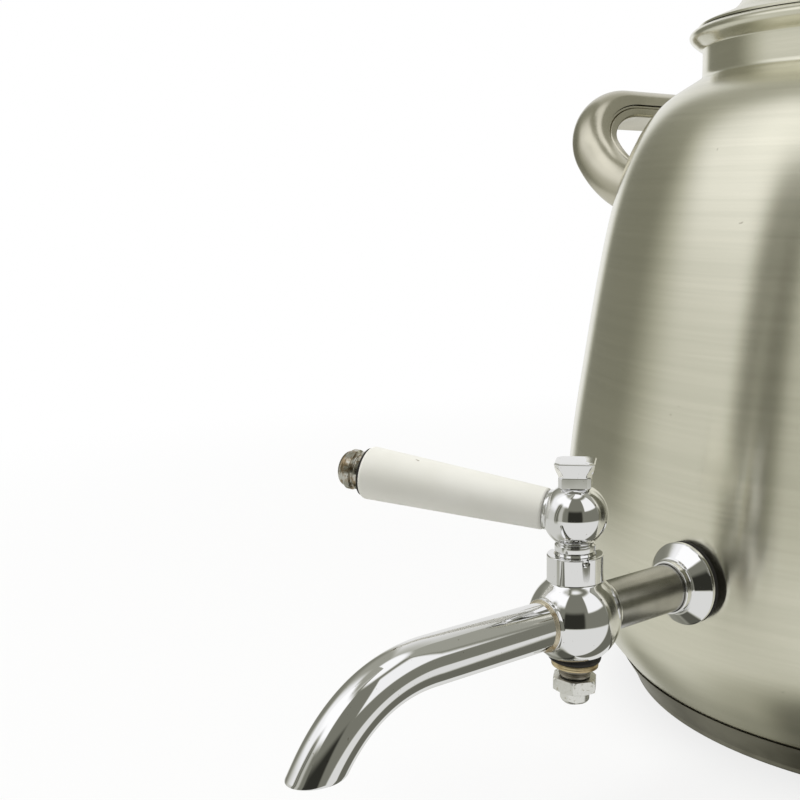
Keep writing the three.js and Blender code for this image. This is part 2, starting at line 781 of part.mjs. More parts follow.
// Tube bent down at its end and cut level at the mouth
function spoutTube() {
  const start = Math.sqrt(ball_radius ** 2 - (spout_radius + boss_margin) ** 2) - socket_depth + gap;
  const path = new THREE.CurvePath();
  const mouth = new THREE.Vector3(0, -spout_reach, -spout_drop);
  const turn = new THREE.Vector3(0, -spout_turn, 0);
  const straight = new THREE.Vector3(0, -spout_straight, 0);
  const past = mouth.clone().sub(turn).normalize().multiplyScalar(spout_radius * 2).add(mouth);
  path.add(new THREE.LineCurve3(new THREE.Vector3(0, -start, 0), straight));
  path.add(new THREE.QuadraticBezierCurve3(straight, turn, mouth));
  path.add(new THREE.LineCurve3(mouth, past));
  const section = new THREE.Shape(arc(at(0, 0), spout_radius, 0, Math.PI * 2, small_facets).slice(0, -1));
  const bore = arc(at(0, 0), spout_radius - spout_wall, 0, Math.PI * 2, small_facets).slice(0, -1);
  section.holes.push(new THREE.Path(bore));
  const tube_body = new THREE.ExtrudeGeometry(section, { steps: spout_steps, extrudePath: path });
  const below = new THREE.BoxGeometry(spout_reach, spout_reach * 2, spout_reach);
  return cut(tube_body, below.translate(0, -spout_reach, -spout_drop - spout_reach / 2));
}

// Lid: a thin flange that rests on the bead, and a raised dome inside it
function lidOutline() {
  const edge = neck_radius + lid_edge_reach;
  const low = rim_top + gap;
  const flange = lid_flange_shares.map(([rise, share]) => {
    return at(share * edge, low + lid_edge_drop + rise * flange_rise);
  });
  const dome = lid_dome_shares.map(([rise, share]) => {
    return at(share * edge, low + flange_rise + rise * (lid_rise - flange_rise));
  });
  const foot = at(dome_foot_share * edge, low + flange_rise + lid_sheet / 2);
  const crown = new THREE.SplineCurve([foot, ...dome]).getPoints(lid_steps);
  const brow = at(flange_share * edge, low + flange_rise);
  return [at(edge, low), at(edge, low + lid_edge_drop), ...flange, brow, ...crown];
}

const lid_outline = lidOutline();
const lid_top = lid_outline[lid_outline.length - 1].y;

function lidShell() {
  const bore = knob_screw_radius + gap;
  const under = offset(lid_outline, lid_sheet);
  under[0] = at(lid_outline[0].x - lid_sheet, lid_outline[0].y);
  const top = [...lid_outline, at(bore, lid_top)];
  return revolve([...top, at(bore, lid_top - lid_sheet), ...under.reverse()], lid_facets);
}

// Height of the lid's underside at a radius
function lidUnderside(radius) {
  const line = offset(lid_outline, lid_sheet);
  const i = line.findIndex((point, k) => k > 1 && point.x <= radius);
  return THREE.MathUtils.mapLinear(radius, line[i - 1].x, line[i].x, line[i - 1].y, line[i].y);
}

// Ring that keeps the lid central in the neck, its top edge under the flange
function lidSkirt() {
  const outer = neck_inner_radius - skirt_clearance;
  const inner = outer - lid_sheet;
  const low = rim_top - skirt_depth;
  return revolve([
    at(inner, low), at(outer, low),
    at(outer, lidUnderside(outer) - skirt_gap), at(inner, lidUnderside(inner) - skirt_gap),
  ], lid_facets);
}

// Mushroom knob with a round foot and a blind bore for its screw
function lidKnob() {
  const low = lid_top + gap;
  const brim = low + knob_height * knob_brim_share;
  const bore = knob_screw_radius + gap;
  const cap = new THREE.EllipseCurve(0, brim, knob_radius, low + knob_height - brim, 0, Math.PI / 2);
  const crown = cap.getPoints(knob_steps);
  crown[crown.length - 1].x = 0;
  const neck = new THREE.SplineCurve([
    at(knob_foot_radius, low + knob_foot_height), at(knob_waist_radius, low + knob_foot_height * 3),
    at(knob_waist_radius, low + knob_foot_height * 4), at(knob_radius, brim),
  ]);
  const depth = low + knob_screw_depth;
  return revolve(fromAxis([
    at(bore, low), at(knob_foot_radius, low), ...neck.getPoints(knob_steps * 2), ...crown.slice(1),
    at(0, depth), at(bore, depth),
  ]));
}

function knobWasher() {
  const top = lid_top - lid_sheet - gap;
  return revolve(tube(knob_washer_radius, knob_screw_radius + gap, top - knob_washer_thickness, top));
}

function knobScrew() {
  const seat = lid_top - lid_sheet - gap * 2 - knob_washer_thickness;
  const end = lid_top + knob_screw_depth;
  return revolve(rounded([
    [at(0, seat - knob_screw_head_height), 0],
    [at(knob_screw_head_radius, seat - knob_screw_head_height), knob_screw_head_height / 2],
    [at(knob_screw_head_radius, seat), 0], [at(knob_screw_radius, seat), 0], [at(knob_screw_radius, end), 0],
    [at(0, end), 0],
  ]));
}

const kettle = new THREE.Group();
addMesh(kettle, "kettle_body", kettleBody(), satin_steel);
addMesh(kettle, "base_shell", baseShell(), dull_steel);
addMesh(kettle, "base_core", baseCore(), aluminium);
addHandles(kettle);

const tap = new THREE.Group();
tap.position.set(0, -valve_distance, tap_height);
kettle.add(tap);
addMesh(tap, "outer_gasket", outerGasket(), rubber);
addMesh(tap, "tap_flange", tapFlange(), chrome);
addMesh(tap, "inlet_pipe", inletPipe(), brushed_chrome);
addMesh(tap, "inner_gasket", innerGasket(), rubber);
addMesh(tap, "inner_washer", innerWasher(), dull_steel);
addMesh(tap, "lock_nut", lockNut(), brass);
addMesh(tap, "valve_body", valveBody(), chrome);
addMesh(tap, "spout", spoutTube(), chrome);

const lever = new THREE.Group();
lever.position.set(0, 0, head_rise);
lever.rotation.set(lever_tilt, 0, lever_turn, "ZXY");
lever.updateMatrix();
tap.add(lever);
addMesh(tap, "valve_plug", valvePlug(lever.matrix), chrome);
addMesh(tap, "finial_screw", finialScrew(), chrome);
addMesh(tap, "tail_gasket", tailRing(tail_gasket_radius, tail_gasket_top, tail_gasket_thickness), rubber);
addMesh(tap, "tail_washer", tailRing(tail_washer_radius, tail_washer_top, tail_washer_thickness), brass);
addMesh(tap, "tail_spring", tailSpring(), dull_steel);
addMesh(tap, "tail_nut", tailNut(), chrome);
addMesh(lever, "lever_rod", leverRod(), dull_steel);
addMesh(lever, "lever_grip", leverGrip(), white_plastic);
addMesh(lever, "grip_washer", revolveAlong(tube(grip_washer_radius, rod_radius + gap, washer_start,
  washer_start + grip_washer_thickness)), rubber);
addMesh(lever, "grip_end_nut", gripEndNut(), chrome);

addMesh(kettle, "lid_shell", lidShell(), satin_steel);
addMesh(kettle, "lid_skirt", lidSkirt(), satin_steel);
addMesh(kettle, "lid_knob", lidKnob(), chrome);
addMesh(kettle, "knob_washer", knobWasher(), dull_steel);
addMesh(kettle, "knob_screw", knobScrew(), dull_steel);

export default kettle;
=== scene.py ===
import math

import bpy
import numpy as np
from mathutils import Matrix, Vector


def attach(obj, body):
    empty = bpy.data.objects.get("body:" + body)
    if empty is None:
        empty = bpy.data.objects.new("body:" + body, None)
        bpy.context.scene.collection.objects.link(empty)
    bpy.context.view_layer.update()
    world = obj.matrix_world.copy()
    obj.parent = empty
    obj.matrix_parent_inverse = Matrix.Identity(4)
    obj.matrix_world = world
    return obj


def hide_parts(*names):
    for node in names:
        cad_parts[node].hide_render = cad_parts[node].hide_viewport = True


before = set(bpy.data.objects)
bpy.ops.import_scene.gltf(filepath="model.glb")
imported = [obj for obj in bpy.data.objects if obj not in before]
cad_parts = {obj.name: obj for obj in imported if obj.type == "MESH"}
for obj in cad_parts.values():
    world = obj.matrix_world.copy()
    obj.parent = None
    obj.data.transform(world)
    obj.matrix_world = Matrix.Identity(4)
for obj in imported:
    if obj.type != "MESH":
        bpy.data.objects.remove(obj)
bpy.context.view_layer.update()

# Camera: close to the kettle, a little above the tap and turned to its right side,
# so that the body fills the right half of the picture and the tap stands free.
mm = 0.001
scene = bpy.context.scene
camera_place = Vector((243.43, -413.69, 178.56)) * mm
camera_right = Vector((0.67856, 0.73454, 0.00335))
camera_up = Vector((-0.09548, 0.08368, 0.99191))
sensor_width = 36.0
picture_width = 800
focal_pixels = 1250.16
principal_pixel = (566.74, 355.65)
lens_data = bpy.data.cameras.new("camera")
lens_data.sensor_width = sensor_width
lens_data.lens = focal_pixels / picture_width * sensor_width
lens_data.shift_x = (picture_width / 2 - principal_pixel[0]) / picture_width
lens_data.shift_y = (principal_pixel[1] - picture_width / 2) / picture_width
lens_data.clip_start = 0.02


def placed(name, data):
    """New object that stands in the scene."""
    made = bpy.data.objects.new(name, data)
    scene.collection.objects.link(made)
    return made


camera = placed("camera", lens_data)
camera_back = camera_right.cross(camera_up)
camera.matrix_world = Matrix.LocRotScale(
    camera_place, Matrix((camera_right, camera_up, camera_back)).transposed(), None)
scene.camera = camera
scene.view_settings.view_transform = "Standard"


# Kettle body: a vessel spun from one sheet of stainless steel, with a straight neck
# whose edge is rolled outwards into a bead, brushed round and round on the lathe.
# The tap's shank passes through a round hole low on its front.
def smooth_line(points, count):
    """Natural cubic spline through the points, by chord length, at even steps: each
    span is the straight line plus a cubic that bends as its two ends' second
    derivatives say, and these solve a three-band system."""
    points = np.asarray(points, float)
    run = np.concatenate([[0.0], np.cumsum(np.linalg.norm(np.diff(points, axis=0), axis=1))])
    step = np.diff(run)
    slope = np.diff(points, axis=0) / step[:, None]
    inner = np.arange(1, len(points) - 1)
    system = np.diag(np.r_[1.0, 2 * (step[:-1] + step[1:]), 1.0])
    system[inner, inner - 1] = step[:-1]
    system[inner, inner + 1] = step[1:]
    load = np.zeros_like(points)
    load[1:-1] = 6 * np.diff(slope, axis=0)
    bend = np.linalg.solve(system, load)
    place = np.linspace(0, run[-1], count)
    span = np.clip(np.searchsorted(run, place) - 1, 0, len(step) - 1)
    size = step[span][:, None]
    a = (run[span + 1] - place)[:, None] / size
    b = 1 - a
    curve = (a**3 - a) * bend[span] + (b**3 - b) * bend[span + 1]
    return a * points[span] + b * points[span + 1] + curve * size**2 / 6


def rounded(corners, steps=6):
    """Polyline of corners (x, y, radius). A corner with a radius becomes an arc that
    touches both its sides: centre on the bisector at radius / sin(half angle)."""
    line = []
    for i, (x, y, radius) in enumerate(corners):
        corner = np.array([x, y], float)
        if radius == 0:
            line.append(corner[None])
            continue
        before = np.array(corners[i - 1][:2]) - corner
        after = np.array(corners[(i + 1) % len(corners)][:2]) - corner
        before = before / np.linalg.norm(before)
        after = after / np.linalg.norm(after)
        half = math.acos(np.clip(before @ after, -1, 1)) / 2
        middle = (before + after) / np.linalg.norm(before + after)
        centre = corner + middle * radius / math.sin(half)
        start = corner + before * radius / math.tan(half) - centre
        end = corner + after * radius / math.tan(half) - centre
        sweep = math.atan2(start[0] * end[1] - start[1] * end[0], start @ end)
        turn = sweep * np.linspace(0, 1, steps + 1)
        cos, sin = np.cos(turn), np.sin(turn)
        line.append(centre + np.stack([start[0] * cos - start[1] * sin,
                                       start[0] * sin + start[1] * cos], 1))
    return np.concatenate(line)


def arc(x, y, radius, start, end, steps):
    """Points of a circle round (x, y) from one angle to another, in degrees."""
    turn = np.radians(np.linspace(start, end, steps + 1))
    return np.stack([x + radius * np.cos(turn), y + radius * np.sin(turn)], 1)


def offset(line, distance):
    """The line moved to its left: each point goes along the normal of its two
    neighbours' chord."""
    chord = np.gradient(line, axis=0)
    chord /= np.linalg.norm(chord, axis=1)[:, None]
    return line + distance * np.stack([-chord[:, 1], chord[:, 0]], 1)


def settle(piece):
    """The mesh with its modifiers worked in."""
    shown = piece.evaluated_get(bpy.context.evaluated_depsgraph_get())
    mesh = bpy.data.meshes.new_from_object(shown)
    piece.modifiers.clear()
    piece.data = mesh


def smooth(piece, sharp):
    """Smooth shading up to this angle in degrees, with normals weighted by the faces'
    areas, so that flat faces between small rounded edges stay flat."""
    piece.data.set_sharp_from_angle(angle=math.radians(sharp))
    piece.modifiers.new("normals", "WEIGHTED_NORMAL").keep_sharp = True
    settle(piece)


def surface(name, grid, loop=False, sheet_ends=False, sharp=35):
    """Closed mesh of a grid of points, rows by columns, in millimetres. The last column
    joins the first, with loop the last row joins the first too, and a row that has
    shrunk to one point is one vertex. With sheet_ends the columns go out along one
    face of a sheet and back along the other, and strips close its two ends."""
    rows, columns = grid.shape[:2]
    one_place = 1e-7
    pole = np.ptp(grid, axis=1).max(axis=1) < one_place
    kept = ~pole[:, None] | (np.arange(columns) == 0)
    index = np.cumsum(kept).reshape(rows, columns) - 1
    index[pole] = index[pole][:, :1]
    low = index if loop else index[:-1]
    high = np.roll(index, -1, 0) if loop else index[1:]
    quads = np.stack([low, np.roll(low, -1, 1), np.roll(high, -1, 1), high], -1)
    quads = quads.reshape(-1, 4)
    if sheet_ends:
        back = index[:, ::-1]
        strips = np.stack([index[:, :-1], index[:, 1:], back[:, 1:], back[:, :-1]], -1)
        strips = strips[:, :columns // 2 - 1]
        quads = np.concatenate([quads, strips[0, :, ::-1], strips[-1]])
    foot = quads[:, 0] == quads[:, 1]
    top = quads[:, 2] == quads[:, 3]
    triangles = np.concatenate([quads[foot & ~top][:, [0, 2, 3]],
                                quads[top & ~foot][:, [0, 1, 2]]])
    quads = quads[~(foot | top)]
    points = grid[kept] * mm
    corners = np.concatenate([quads[:, :3], quads[:, [0, 2, 3]], triangles])
    a, b, c = points[corners[:, 0]], points[corners[:, 1]], points[corners[:, 2]]
    if (a * np.cross(b, c)).sum() < 0:
        quads, triangles = quads[:, ::-1], triangles[:, ::-1]
    mesh = bpy.data.meshes.new(name)
    mesh.from_pydata(points.tolist(), [], quads.tolist() + triangles.tolist())
    mesh.shade_smooth()
    piece = placed(name, mesh)
    smooth(piece, sharp)
    return piece


def around(facets):
    """Angles of this many facets round a circle."""
    return np.linspace(0, 2 * math.pi, facets, endpoint=False)


def turned(profile, facets=128):
    """Grid of a profile (radius, height) turned round +Z: (r cos a, r sin a, z)."""
    profile = np.asarray(profile, float)
    turn = around(facets)
    radius, height = profile[:, :1], profile[:, 1:]
    return np.stack([radius * np.cos(turn), radius * np.sin(turn), height + 0 * turn], -1)


def carve(piece, cutter, operation="DIFFERENCE"):
    """The piece with another piece taken from it or added to it."""
    change = piece.modifiers.new("cut", "BOOLEAN")
    change.operation = operation
    change.solver = "MANIFOLD"
    change.object = cutter
    settle(piece)
    bpy.data.objects.remove(cutter)
    return piece


class Shade:
    """The value of a shader node's socket; + - * / on it add Math nodes."""

    def __init__(self, tree, socket=None):
        self.tree = tree
        self.socket = socket

    def node(self, kind, inputs=None, output=0, **settings):
        """Adds a node of this type: its settings first, then values or links."""
        made = self.tree.nodes.new(kind)
        for setting, value in settings.items():
            setattr(made, setting, value)
        for key, value in (inputs or {}).items():
            if isinstance(value, Shade):
                self.tree.links.new(value.socket, made.inputs[key])
            else:
                made.inputs[key].default_value = value
        return Shade(self.tree, made.outputs[output]) if made.outputs else made

    def maths(self, operation, first, second=0.0):
        return self.node("ShaderNodeMath", {0: first, 1: second}, operation=operation)

    def __add__(self, other):
        return self.maths("ADD", self, other)

    def __sub__(self, other):
        return self.maths("SUBTRACT", self, other)

    def __rsub__(self, other):
        return self.maths("SUBTRACT", other, self)

    def __mul__(self, other):
        return self.maths("MULTIPLY", self, other)

    def __truediv__(self, other):
        return self.maths("DIVIDE", self, other)

    __radd__ = __add__
    __rmul__ = __mul__

    def ease(self, start, end, low=0.0, high=1.0):
        """Smooth step from low to high as the value goes from start to end."""
        return self.node("ShaderNodeMapRange", {0: self, 1: start, 2: end, 3: low, 4: high},
                         interpolation_type="SMOOTHSTEP")

    def split(self):
        made = self.node("ShaderNodeSeparateXYZ", {0: self})
        return [Shade(self.tree, socket) for socket in made.socket.node.outputs]

    def join(self, x, y, z):
        return self.node("ShaderNodeCombineXYZ", {0: x, 1: y, 2: z})

    def noise(self, vector, scale, detail=2.0, rough=0.5):
        return self.node("ShaderNodeTexNoise", {
            "Vector": vector, "Scale": scale, "Detail": detail, "Roughness": rough})

    def blend(self, factor, first, second):
        """Colour mix of first and second, by this node's third set of sockets."""
        return self.node("ShaderNodeMix", {0: factor, 6: first, 7: second}, output=2,
                         data_type="RGBA")

    def object_place(self):
        return self.node("ShaderNodeTexCoord", output=3)

    def bump(self, height, distance):
        return self.node("ShaderNodeBump", {"Height": height, "Distance": distance})


def blank(owner):
    """Pen for the emptied node tree of a material or a world."""
    owner.use_nodes = True
    owner.node_tree.nodes.clear()
    return Shade(owner.node_tree)


def material(paint):
    """New material with its paint function's name. The function is given a pen and the
    place on the object, and returns the sockets of the Principled shader."""
    made = bpy.data.materials.new(paint.__name__)
    pen = blank(made)
    shader = pen.node("ShaderNodeBsdfPrincipled", paint(pen, pen.object_place()))
    pen.node("ShaderNodeOutputMaterial", {"Surface": shader})
    return made


def metal(pen, tone, rough, height, distance):
    """Sockets of a metal: its colour, its roughness and the height of its bumps."""
    return {"Base Color": tone, "Metallic": 1.0, "Roughness": rough,
            "Normal": pen.bump(height, distance)}


def lathe_lines(pen, x, y, z, fine, streak):
    """Noise in rings round +Z: it changes quickly with height less radius and slowly
    with the angle."""
    radius = (x * x + y * y).maths("SQRT", x * x + y * y) + 1e-5
    line = (z - radius) * fine
    return pen.noise(pen.join(x / radius * streak, y / radius * streak, line), 1.0, 3.0, 0.6)


@material
def satin_steel(pen, place):
    x, y, z = place.split()
    lines = lathe_lines(pen, x, y, z, 2600.0, 2.5)
    bands = lathe_lines(pen, x, y, z, 260.0, 0.8)
    cloud = pen.noise(place, 9.0, 3.0)
    speck = pen.noise(place, 420.0, 1.0).ease(0.79, 0.81)
    tone = pen.blend(bands.ease(0.3, 0.7), (0.77, 0.755, 0.635, 1), (0.83, 0.81, 0.685, 1))
    tone = pen.blend(speck * 0.5, tone, (0.34, 0.31, 0.25, 1))
    rough = 0.15 + bands * 0.01 + lines * 0.05 + cloud * 0.02
    return metal(pen, tone, rough, lines + bands * 0.15, 0.000006) | {
        "Anisotropic": 0.97, "Anisotropic Rotation": 0.25}


sheet = 1.0
base_height = 11.0
piece_gap = 0.3
body_bottom = base_height + piece_gap
bottom_round = 1.0
belly_radius = 137.6
side_height = 209.7
side_shares = np.array([
    (0.0, 0.853), (0.05, 0.913), (0.12, 0.972), (0.2, 0.995), (0.3, 1.0), (0.4, 0.986),
    (0.5, 0.963), (0.7, 0.912), (0.82, 0.868), (0.9, 0.817), (0.955, 0.752), (0.99, 0.674)])
neck_radius = 89.5
neck_round = 2.6
neck_root = body_bottom + side_height
neck_height = 10.4
bead_foot = neck_root + neck_height
bead_rise = 6.9
rim_top = bead_foot + bead_rise
side_line = smooth_line(np.stack([
    side_shares[:, 1] * belly_radius, body_bottom + side_shares[:, 0] * side_height], 1), 90)
side_start = side_line[3]
bottom_rows = rounded([(0, body_bottom, 0), (side_line[0, 0], body_bottom, bottom_round),
                       (*side_start, 0)], 5)[:-1]
side_rows = np.concatenate([
    side_line[3:-1],
    rounded([(*side_line[-2], 0), (neck_radius, neck_root, neck_round),
             (neck_radius, bead_foot - 1, 0)], 8)[1:]])
body_outline = np.concatenate([bottom_rows, side_rows])
body_inside = offset(body_outline, sheet)
body_inside[0, 0] = 0
bead_line = (neck_radius, bead_foot) + smooth_line([
    (0.02, -0.4), (0.5, 0.1), (1.5, 0.75), (3.1, 1.8), (4.4, 2.9), (4.9, 4.2), (4.4, 5.2),
    (2.5, 6.4), (1.5, 6.85), (0.3, bead_rise), (-0.6, 6.4), (-sheet, 5.6)], 60)
kettle_body = surface("kettle_body_spun", turned(
    np.concatenate([body_outline, bead_line, body_inside[::-1]]), 320))
tap_height = 63.2
valve_y = -185.1899
shank_radius = 6.4


def along_y(grid):
    """A turned grid laid with its axis along +Y."""
    return np.stack([grid[..., 0], grid[..., 2], -grid[..., 1]], -1)


hole_radius = shank_radius + piece_gap
hole_ahead, hole_behind = -150, -120
hole = turned([(0, hole_ahead), (hole_radius, hole_ahead), (hole_radius, hole_behind),
               (0, hole_behind)], 64)
carve(kettle_body, surface("tap_hole", along_y(hole) + (0, 0, tap_height)))
smooth(kettle_body, 35)


def wear(piece, finish, node, body="kettle", slot=None):
    """Gives a piece its finish and body, and hides the CAD node that it stands for. The slot
    argument, or else the finish's name less the number that Blender adds, is not used."""
    slot = slot or finish.name.split(".")[0]
    piece.data.materials.clear()
    piece.data.materials.append(finish)
    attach(piece, body)
    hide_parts(node)


wear(kettle_body, satin_steel, "kettle_body")


# Base cap: a pressed steel cap soldered under the body over an aluminium disc. It
# has gone brown-grey from the hob, and its upper edge leaves a thin dark line.
@material
def browned_steel(pen, place):
    x, y, z = place.split()
    lines = lathe_lines(pen, x, y, z, 1500.0, 2.0)
    cloud = pen.noise(place, 28.0, 4.0, 0.6)
    tone = pen.blend(cloud.ease(0.35, 0.65), (0.17, 0.162, 0.128, 1), (0.27, 0.26, 0.21, 1))
    return metal(pen, tone, 0.30 + cloud * 0.2, lines, 0.000008) | {
        "Anisotropic": 0.5, "Anisotropic Rotation": 0.25}


cap_inset = 0.4
cap_taper = 6.0
side_foot = np.interp(body_bottom + bottom_round, side_line[:, 1], side_line[:, 0])
cap_top_radius = side_foot - cap_inset
cap_foot_radius = cap_top_radius - cap_taper
cap_outside = rounded([(0, 0, 0), (cap_foot_radius, 0, 1.2), (cap_foot_radius + 0.4, 2.0, 2.0),
                       (cap_top_radius, base_height, 0)], 8)
cap_inside = offset(cap_outside, sheet)
cap_inside[0, 0] = 0
cap_inside[-1, 1] = base_height
cap = surface("base_cap", turned(np.concatenate([cap_outside, cap_inside[::-1]]), 256))
wear(cap, browned_steel, "base_shell", slot="dull_steel")


# Core of the base: a thick aluminium disc pressed between the cap and the body, which
# spreads the heat. It can't be seen from outside.
@material
def aluminium(pen, place):
    x, y, z = place.split()
    lines = lathe_lines(pen, x, y, z, 900.0, 1.2)
    tone = pen.blend(lines, (0.68, 0.68, 0.69, 1), (0.78, 0.78, 0.79, 1))
    return metal(pen, tone, 0.38 + lines * 0.12, lines, 0.00001)


core_radius = cap_foot_radius - 3
core_low = sheet + piece_gap
core_rows = rounded([(0, core_low, 0), (core_radius, core_low, 1.2),
                     (core_radius, base_height, 0.4), (0, base_height, 0)])
wear(surface("base_core_disc", turned(core_rows, 160)), aluminium, "base_core")

# Side handles: each is an open channel of polished sheet, bent up along a loop, with
# a shallow tray pressed in on the finger side. A dark seam runs where the two meet,
# and the ends are welded to the shoulder.
root_share = 0.807
root_height = body_bottom + side_height * root_share
sunk = 8.0
level_run = 5.2
sweep_radius = 49.0
full_sweep = math.radians(69)
first_slope = math.radians(15.5)
loop_length = 55.3
half_span = 41.5
root_half_span = 49.0
loop_corner = 23.7
wide_radius = 10.0
thin_radius = 8.3
seam_angle = 95.0
handle_sheet = 1.1
tray_depth = 6.1


def handle_middle(t):
    """Middle line at t from 0 to 1: a flat U with round corners, narrower at the body,
    rolled onto a cylinder that bends it up. Gives points and the bend's slope."""
    leg = loop_length - loop_corner + sunk
    half = leg + loop_corner * math.pi / 2 + half_span - loop_corner
    run = np.minimum(t, 1 - t) * 2 * half
    side = np.where(t < 0.5, -1.0, 1.0)
    turn = np.clip((run - leg) / loop_corner, 0, math.pi / 2)
    past = np.maximum(run - leg - loop_corner * math.pi / 2, 0)
    across = half_span - loop_corner + loop_corner * np.cos(turn) - past
    along = np.minimum(run, leg) - sunk + loop_corner * np.sin(turn)
    narrow = (half_span - root_half_span) / half_span
    across = side * across * (1 - narrow * (1 - along / loop_length))
    bent = np.clip((along - level_run) / sweep_radius, 0, full_sweep)
    slope = first_slope + bent
    level = np.minimum(along, level_run)
    past = np.maximum(along - level_run - sweep_radius * full_sweep, 0)
    out = (level * math.cos(first_slope) + past * np.cos(slope)
           + sweep_radius * (np.sin(slope) - math.sin(first_slope)))
    up = (level * math.sin(first_slope) + past * np.sin(slope)
          + sweep_radius * (math.cos(first_slope) - np.cos(slope)))
    return np.stack([out, across, up], -1), slope


def handle_point(t, section):
    """Section point (wide, thin) carried along the middle line: the wide axis stays
    square to the bent sheet, the thin one is tangent x wide."""
    step = 1e-4
    middle, slope = handle_middle(t)
    tangent = (handle_middle(np.minimum(t + step, 1))[0]
               - handle_middle(np.maximum(t - step, 0))[0])
    tangent /= np.linalg.norm(tangent, axis=-1, keepdims=True)
    wide = np.stack([-np.sin(slope), 0 * slope, np.cos(slope)], -1)
    wide -= tangent * (wide * tangent).sum(-1, keepdims=True)
    wide /= np.linalg.norm(wide, axis=-1, keepdims=True)
    thin = np.cross(tangent, wide)
    root = math.sqrt(np.interp(root_height, side_line[:, 1], side_line[:, 0])**2
                     - root_half_span**2)
    return (middle + wide * section[..., :1] + thin * section[..., 1:]
            + (root, 0, root_height))


def handle_grid(section, steps=150):
    """Section points by steps along the loop. Each line starts and ends where it comes
    out of the body's side, found by halving."""
    line = np.broadcast_to(section, (2, *section.shape))
    inside = np.broadcast_to(np.array([[0.0], [1.0]]), line.shape[:2]).copy()
    outside = np.full(line.shape[:2], 0.5)
    for _ in range(40):
        middle = (inside + outside) / 2
        point = handle_point(middle, line)
        wall = np.interp(point[..., 2], side_rows[:, 1], side_rows[:, 0])
        hidden = np.hypot(point[..., 0], point[..., 1]) < wall
        inside = np.where(hidden, middle, inside)
        outside = np.where(hidden, outside, middle)
    share = np.linspace(0, 1, steps)[:, None]
    t = inside[0] + (inside[1] - inside[0]) * share
    return handle_point(t, np.broadcast_to(section, (steps, *section.shape)))


@material
def polished_steel(pen, place):
    cloud = pen.noise(place, 24.0, 3.0, 0.55)
    grain = pen.noise(place, 900.0, 2.0)
    tone = pen.blend(cloud.ease(0.35, 0.7), (0.55, 0.525, 0.43, 1), (0.68, 0.65, 0.54, 1))
    return metal(pen, tone, 0.15 + cloud * 0.12 + grain * 0.04, cloud * 12.0 + grain, 0.000012)


outer_arc = np.radians(np.linspace(90 - seam_angle, 90 + seam_angle, 41))
channel_outside = np.stack([wide_radius * np.cos(outer_arc), thin_radius * np.sin(outer_arc)], 1)
channel_inside = np.stack([(wide_radius - handle_sheet) * np.cos(outer_arc),
                           (thin_radius - handle_sheet) * np.sin(outer_arc)], 1)
channel_section = np.concatenate([channel_outside, channel_inside[::-1]])
groove_depth = 1.0
lip = thin_radius * math.cos(math.radians(seam_angle)) - piece_gap
edge = wide_radius * math.sin(math.radians(seam_angle)) - groove_depth
tray_half = rounded([(edge, lip, 0), (edge, lip - 0.8, 0.2), (edge + 0.8, lip - 1.4, 0.3),
                     (edge + 0.4, -tray_depth, 1.5), (0, 0.8 - tray_depth, 0)], 6)
tray_outside = np.concatenate([tray_half, (tray_half[:-1] * (-1, 1))[::-1]])
tray_section = np.concatenate([tray_outside, offset(tray_outside, -handle_sheet)[::-1]])
for side, sign in (("right", 1), ("left", -1)):
    for part, section in (("shell", channel_section), ("liner", tray_section)):
        grid = handle_grid(section) * (sign, sign, 1)
        piece = surface(f"handle_{side}_{part}_bent", grid, sheet_ends=True)
        wear(piece, polished_steel, f"handle_{side}_{part}", slot="satin_steel")


# Gasket outside the wall: a black rubber ring under the flange, squeezed to the
# curve of the wall, which shows as a dark edge behind the flange.
@material
def rubber(pen, place):
    grain = pen.noise(place, 700.0, 2.0)
    dust = pen.noise(place, 60.0, 3.0).ease(0.5, 0.75)
    return {"Base Color": pen.blend(dust, (0.018, 0.016, 0.014, 1), (0.05, 0.045, 0.038, 1)),
            "Roughness": 0.62 + grain * 0.2, "Normal": pen.bump(grain, 0.00004)}


flange_back = 45.3


def wall_depth(grid, depth):
    """Distance along +Y from the valve's axis to the wall's surface moved inwards: the
    wall is a circle of its own radius at each height."""
    radius = np.interp(grid[..., 2] + tap_height, side_line[:, 1], side_line[:, 0]) - depth
    return -np.sqrt(radius**2 - grid[..., 0]**2) - valve_y


def on_tap(grid):
    return grid + (0, valve_y, tap_height)


def pressed_ring(name, profile, depth, wall_rows):
    """Ring round the shank. The rows that wall_rows picks by their distance lie on the
    wall, moved inwards by depth."""
    grid = along_y(turned(profile, 96))
    facing = wall_rows(grid[:, 0, 1])
    grid[facing, :, 1] = wall_depth(grid[facing], depth)
    return surface(name, on_tap(grid), loop=True)


gasket_bore = hole_radius
gasket_radius = 12.4
gasket_foot = 10.6
gasket_front = flange_back + 0.1
wall_face = 49.0
gasket_profile = rounded([
    (gasket_bore, gasket_front, 0), (gasket_radius, gasket_front, 0.4),
    (gasket_radius, gasket_front + 0.8, 0.3), (gasket_foot, wall_face, 0),
    (gasket_foot - 2, wall_face, 0), (gasket_bore, wall_face, 0)])
outer_gasket = pressed_ring("outer_gasket_ring", gasket_profile, 0.0, lambda y: y > wall_face - 1)
wear(outer_gasket, rubber, "outer_gasket")


# Flange: a turned and chromed cone with a short hub that slides on the pipe and
# covers the gasket. Its rim and its edges are bright.
@material
def chrome(pen, place):
    smear = pen.noise(place, 45.0, 4.0, 0.6).ease(0.45, 0.8)
    ripple = pen.noise(place, 130.0, 2.0)
    pit = pen.noise(place, 1500.0, 1.0).ease(0.74, 0.80)
    tone = pen.blend(pit * 0.6, (0.86, 0.86, 0.865, 1), (0.34, 0.30, 0.24, 1))
    return metal(pen, tone, 0.035 + smear * 0.07, ripple, 0.000012)


